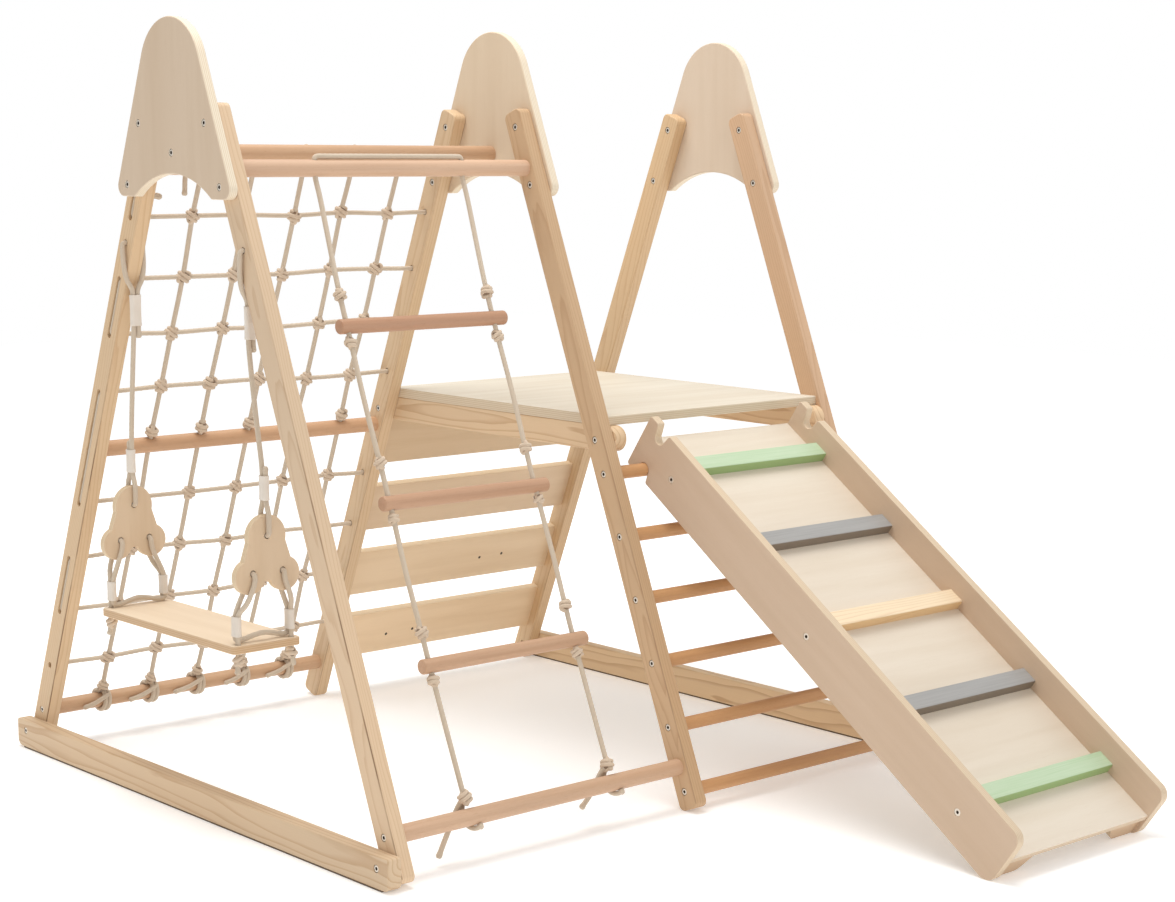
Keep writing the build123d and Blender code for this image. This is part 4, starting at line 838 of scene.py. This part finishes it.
def build_ladder(cotton, knotted):
    """One rope up the left side, over the front top dowel and down the right, with its ends tied below."""
    top_y = leg_y(-1, TOP_DOWEL_Z)
    over = TOP_DOWEL_Z + DOWEL_R + ROPE_D / 2 + 0.001
    route = [
        hang(0.191, 0.112, -1), hang(0.1885, 0.210, -1), hang(0.1865, 0.298, -1), hang(0.1860, 0.380, -1),
        hang(0.1835, 0.470, -1), hang(0.1856, 0.558, -1), hang(0.1858, 0.655, -1), hang(0.1840, 0.750, -1),
        hang(0.1864, 0.852, -1), hang(0.1866, 0.935, -1), hang(0.1925, 1.040, -1),
        hang(0.1958, 1.095, -1), Vector((0.1979, top_y - 0.0015, 1.130)), Vector((0.198, top_y, 1.148)),
        Vector((0.198, top_y, over)), Vector((0.215, top_y, over)), Vector((0.275, top_y, over)),
        Vector((0.360, top_y, over)), Vector((0.445, top_y, over)), Vector((0.505, top_y, over)),
        Vector((0.522, top_y, over)), Vector((0.522, top_y, 1.148)), Vector((0.5219, top_y - 0.0015, 1.130)),
        hang(0.5192, 1.095, -1), hang(0.5155, 1.040, -1), hang(0.5090, 0.935, -1),
        hang(0.5082, 0.850, -1), hang(0.5105, 0.750, -1), hang(0.5078, 0.655, -1), hang(0.5076, 0.560, -1),
        hang(0.5100, 0.470, -1), hang(0.5083, 0.382, -1), hang(0.5086, 0.300, -1), hang(0.5105, 0.210, -1),
        hang(0.5130, 0.112, -1),
    ]
    ropes = RopeMesh()
    ropes.rope(smooth_line(route))
    for tail in LADDER_TAILS:
        ropes.rope(smooth_line([Vector(p) for p in tail]), ROPE_D, 0.0024, 0.3, 0.35)
    for x in (0.192, 0.512):
        centre = hang(x, BOTTOM_DOWEL_Z, -1)
        loop = [hang(x, 0.112, -1), centre + UP_FRONT * 0.024 - OUT_FRONT * 0.012]
        for i in range(9):
            angle = math.radians(70 + 17 * i)
            loop.append(centre + Vector((0.0014 * i, 0, 0))
                        + (UP_FRONT * math.cos(angle) - OUT_FRONT * math.sin(angle)) * (TIE_R + 0.0004))
        loop.append(centre + Vector((0.015, 0, 0)) - UP_FRONT * 0.0178 + OUT_FRONT * 0.010)
        ropes.rope(smooth_line(loop), ROPE_D, 0.002)
        lump = [centre + Vector((0.011 + 0.0015 * i, 0, 0)) - UP_FRONT * 0.0185
                + OUT_FRONT * (0.002 + 0.0012 * i) for i in range(6)]
        ropes.rope(lump, ROPE_D * 1.35, 0.002)
    piece = ropes.build("ladder_cord", cotton)
    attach(piece, "root")
    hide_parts("ladder_rope")

    knots = RopeMesh()
    for i, (x, z, size, turns) in enumerate(LADDER_KNOTS):
        lean = 0.35 if i % 2 else -0.3
        wrap_knot(knots, hang(x, z, -1), UP_FRONT + Vector((lean, 0, 0)), size, 300 + i, turns)
    piece = knots.build("ladder_knot_set", knotted)
    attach(piece, "root")
    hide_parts("ladder_knots")


# ---------------------------------------------------------------- swing
HANGER_Y = 0.186
HANGER_HOLE_Z = 1.009
SIDE_PLATE_Y = 0.218
SEAT_HOLE = (0.054, 0.2114)
SEAT_TOP = 0.345
# Half the distance between two ropes side by side, and from a side plate's middle to the rope over its face.
PAIR = 0.0044
PLATE_OUT = 0.01245
# A sleeve's shape from one end to the other, outside and then back inside: how high, and how wide.
SLEEVE_OUTSIDE = ((-0.5, 0.93), (-0.49, 1.0), (-0.455, 1.03), (-0.42, 0.985), (-0.2, 0.95), (0.0, 0.93),
                  (0.2, 0.95), (0.42, 0.985), (0.455, 1.03), (0.49, 1.0), (0.5, 0.93))
SLEEVE_INSIDE = ((0.5, 0.8), (0.0, 0.78), (-0.5, 0.8))
SLEEVE_RING = 28


def swing_point(side, dx, y, z):
    """A point of one hanger: side is -1 at the front and 1 at the back."""
    return Vector((SWING_X + dx, side * y, z))


def sleeve_piece(name, body, node, places, tape):
    """Crimp sleeves: flattened tubes, pinched in the middle, with rolled lips."""
    verts = []
    faces = []
    rows = SLEEVE_OUTSIDE + SLEEVE_INSIDE
    for centre, along_x, height in places:
        start = len(verts)
        for t, swell in rows:
            for k in range(SLEEVE_RING):
                angle = 2 * math.pi * k / SLEEVE_RING
                wide = 0.0066 * swell * math.cos(angle) + math.copysign(PAIR, math.cos(angle))
                deep = 0.0064 * swell * math.sin(angle)
                offset = (wide, deep) if along_x else (deep, wide)
                verts.append(centre + Vector((*offset, t * height)))
        for r in range(len(rows)):
            this = start + r * SLEEVE_RING
            following = start + (r + 1) % len(rows) * SLEEVE_RING
            for k in range(SLEEVE_RING):
                beside = (k + 1) % SLEEVE_RING
                face = (this + k, this + beside, following + beside, following + k)
                faces.append(face if along_x else face[::-1])
    mesh = bpy.data.meshes.new(name)
    mesh.from_pydata(verts, [], faces)
    mesh.materials.append(tape)
    mesh.shade_smooth()
    piece = put_in_scene(name, mesh)
    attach(piece, body)
    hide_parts(node)


def build_swing(cotton, knotted, tape):
    """The loops through the left legs, and below them the ropes and sleeves down to the side plates and the seat."""
    loops = RopeMesh()
    hole_y = leg_y(1, HANGER_HOLE_Z)
    for side in (-1, 1):
        route = []
        for dx, y, z in ((PAIR, HANGER_Y, 0.898), (PAIR, HANGER_Y, 0.915), (PAIR + 0.001, HANGER_Y, 0.927),
                         (0.017, HANGER_Y + 0.001, 0.944), (0.0205, 0.188, 0.972), (0.0205, hole_y, 0.995),
                         (0.0205, hole_y, HANGER_HOLE_Z), (0.008, hole_y, HANGER_HOLE_Z)):
            route.append(swing_point(side, -dx, y, z))
        mirrored = [Vector((2 * SWING_X - p.x, p.y, p.z)) for p in reversed(route)]
        loops.rope(smooth_line(route + mirrored))
    piece = loops.build("hanger_loops", cotton)
    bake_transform(piece)
    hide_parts("swing_hanger_loops")

    upper = RopeMesh()
    for side in (-1, 1):
        route = [(-PAIR, HANGER_Y, 0.914), (-PAIR, HANGER_Y, 0.880), (-PAIR, HANGER_Y + 0.0002, 0.855),
                 (-PAIR, 0.1895, 0.825), (-0.0035, 0.198, 0.760), (-0.002, 0.207, 0.695),
                 (-0.0005, 0.2125, 0.655), (0, SIDE_PLATE_Y - PAIR, 0.634), (0, SIDE_PLATE_Y - PAIR, 0.605),
                 (0, SIDE_PLATE_Y - PAIR, 0.586), (0, SIDE_PLATE_Y - PLATE_OUT, 0.570),
                 (0, SIDE_PLATE_Y - PLATE_OUT, 0.548), (0, SIDE_PLATE_Y - PLATE_OUT, 0.530),
                 (0, SIDE_PLATE_Y, 0.530), (0, SIDE_PLATE_Y + PLATE_OUT, 0.530),
                 (0, SIDE_PLATE_Y + PLATE_OUT, 0.548), (0, SIDE_PLATE_Y + PLATE_OUT, 0.570),
                 (0, SIDE_PLATE_Y + PAIR, 0.586), (0, SIDE_PLATE_Y + PAIR, 0.605),
                 (0.0005, SIDE_PLATE_Y + PAIR, 0.648)]
        upper.rope(smooth_line([swing_point(side, *p) for p in route]), ROPE_D, 0.0024, 0.4, 0.2)
        stub = [(PAIR, HANGER_Y, 0.914), (PAIR, HANGER_Y, 0.868), (PAIR + 0.0005, HANGER_Y, 0.838)]
        upper.rope(smooth_line([swing_point(side, *p) for p in stub]), ROPE_D * 1.06, 0.0024, 0.2, 0.3)
    piece = upper.build("swing_cord", cotton)
    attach(piece, "swing")
    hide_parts("swing_upper_ropes")

    seat = RopeMesh()
    inner = SEAT_HOLE[1] - 2 * PAIR
    low = SEAT_TOP + ROPE_D / 2 + 0.0005
    for side in (-1, 1):
        half = [(SEAT_HOLE[0] + 0.004, SEAT_HOLE[1] + 0.002, 0.294), (SEAT_HOLE[0], SEAT_HOLE[1], 0.318),
                (SEAT_HOLE[0], SEAT_HOLE[1], 0.345), (SEAT_HOLE[0], SEAT_HOLE[1], 0.374),
                (SEAT_HOLE[0], SEAT_HOLE[1], 0.398), (0.046, SIDE_PLATE_Y + PLATE_OUT - 0.004, 0.414),
                (0.038, SIDE_PLATE_Y + PLATE_OUT, 0.434), (0.030, SIDE_PLATE_Y + PLATE_OUT, 0.452),
                (0.030, SIDE_PLATE_Y + PLATE_OUT, 0.467), (0.030, SIDE_PLATE_Y, 0.467),
                (0.030, SIDE_PLATE_Y - PLATE_OUT, 0.467), (0.030, SIDE_PLATE_Y - PLATE_OUT, 0.452),
                (0.038, SIDE_PLATE_Y - PLATE_OUT, 0.432), (0.047, inner + 0.001, 0.412), (0.054, inner, 0.394),
                (0.054, inner, 0.374), (0.054, inner, 0.362), (0.054, inner, low + 0.001), (0.040, inner, low),
                (0.020, inner, SEAT_TOP + 0.0105)]
        route = [swing_point(side, *p) for p in half]
        other = [swing_point(side, -p[0], p[1], p[2]) for p in reversed(half)]
        middle = [swing_point(side, 0, inner + 0.002, SEAT_TOP + 0.014)]
        seat.rope(smooth_line(route + middle + other), ROPE_D, 0.0024, 0.1, 0.25)
    piece = seat.build("seat_cord", cotton)
    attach(piece, "swing_seat")
    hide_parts("swing_seat_ropes")

    knots = RopeMesh()
    for side in (-1, 1):
        for end in (-1, 1):
            centre = swing_point(side, end * SEAT_HOLE[0], SEAT_HOLE[1], SEAT_TOP - 0.0275)
            wrap_knot(knots, centre, Vector((0.25 * end, 0, 1)), 0.023, 400 + side + 3 * end, 1.8)
    piece = knots.build("swing_knot_set", knotted)
    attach(piece, "swing_seat")
    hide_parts("swing_knots")

    upper_places = []
    seat_places = []
    for side in (-1, 1):
        upper_places.append((swing_point(side, 0, HANGER_Y, 0.888), True, 0.056))
        upper_places.append((swing_point(side, 0, SIDE_PLATE_Y, 0.611), False, 0.042))
        for end in (-1, 1):
            seat_places.append((swing_point(side, end * SEAT_HOLE[0], SEAT_HOLE[1] - PAIR, 0.3765), False, 0.035))
    sleeve_piece("hanger_sleeves", "swing", "swing_upper_sleeves", upper_places, tape)
    sleeve_piece("seat_sleeves", "swing_seat", "swing_seat_sleeves", seat_places, tape)


place_camera()
light_studio()
lay_floor()
dress_frames()
dress_boards()
dress("frame_bolts", steel_material("frame_bolts", FRAME_HEADS))
dress("ramp_bolts", steel_material("ramp_bolts", RAMP_HEADS))
dress("foot_pads", pad_material())
cotton_rope = rope_material("cotton_rope", (211, 195, 174), (177, 154, 128), (132, 111, 88))
# The knots' cotton is a little lighter than the rope's, and turns darker inside the knots as painted shade.
cotton_knot = rope_material("cotton_knot", (217, 197, 174), (180, 153, 125), (118, 93, 70))
build_net(cotton_rope, cotton_knot)
build_ladder(cotton_rope, cotton_knot)
build_swing(cotton_rope, cotton_knot, sleeve_material())
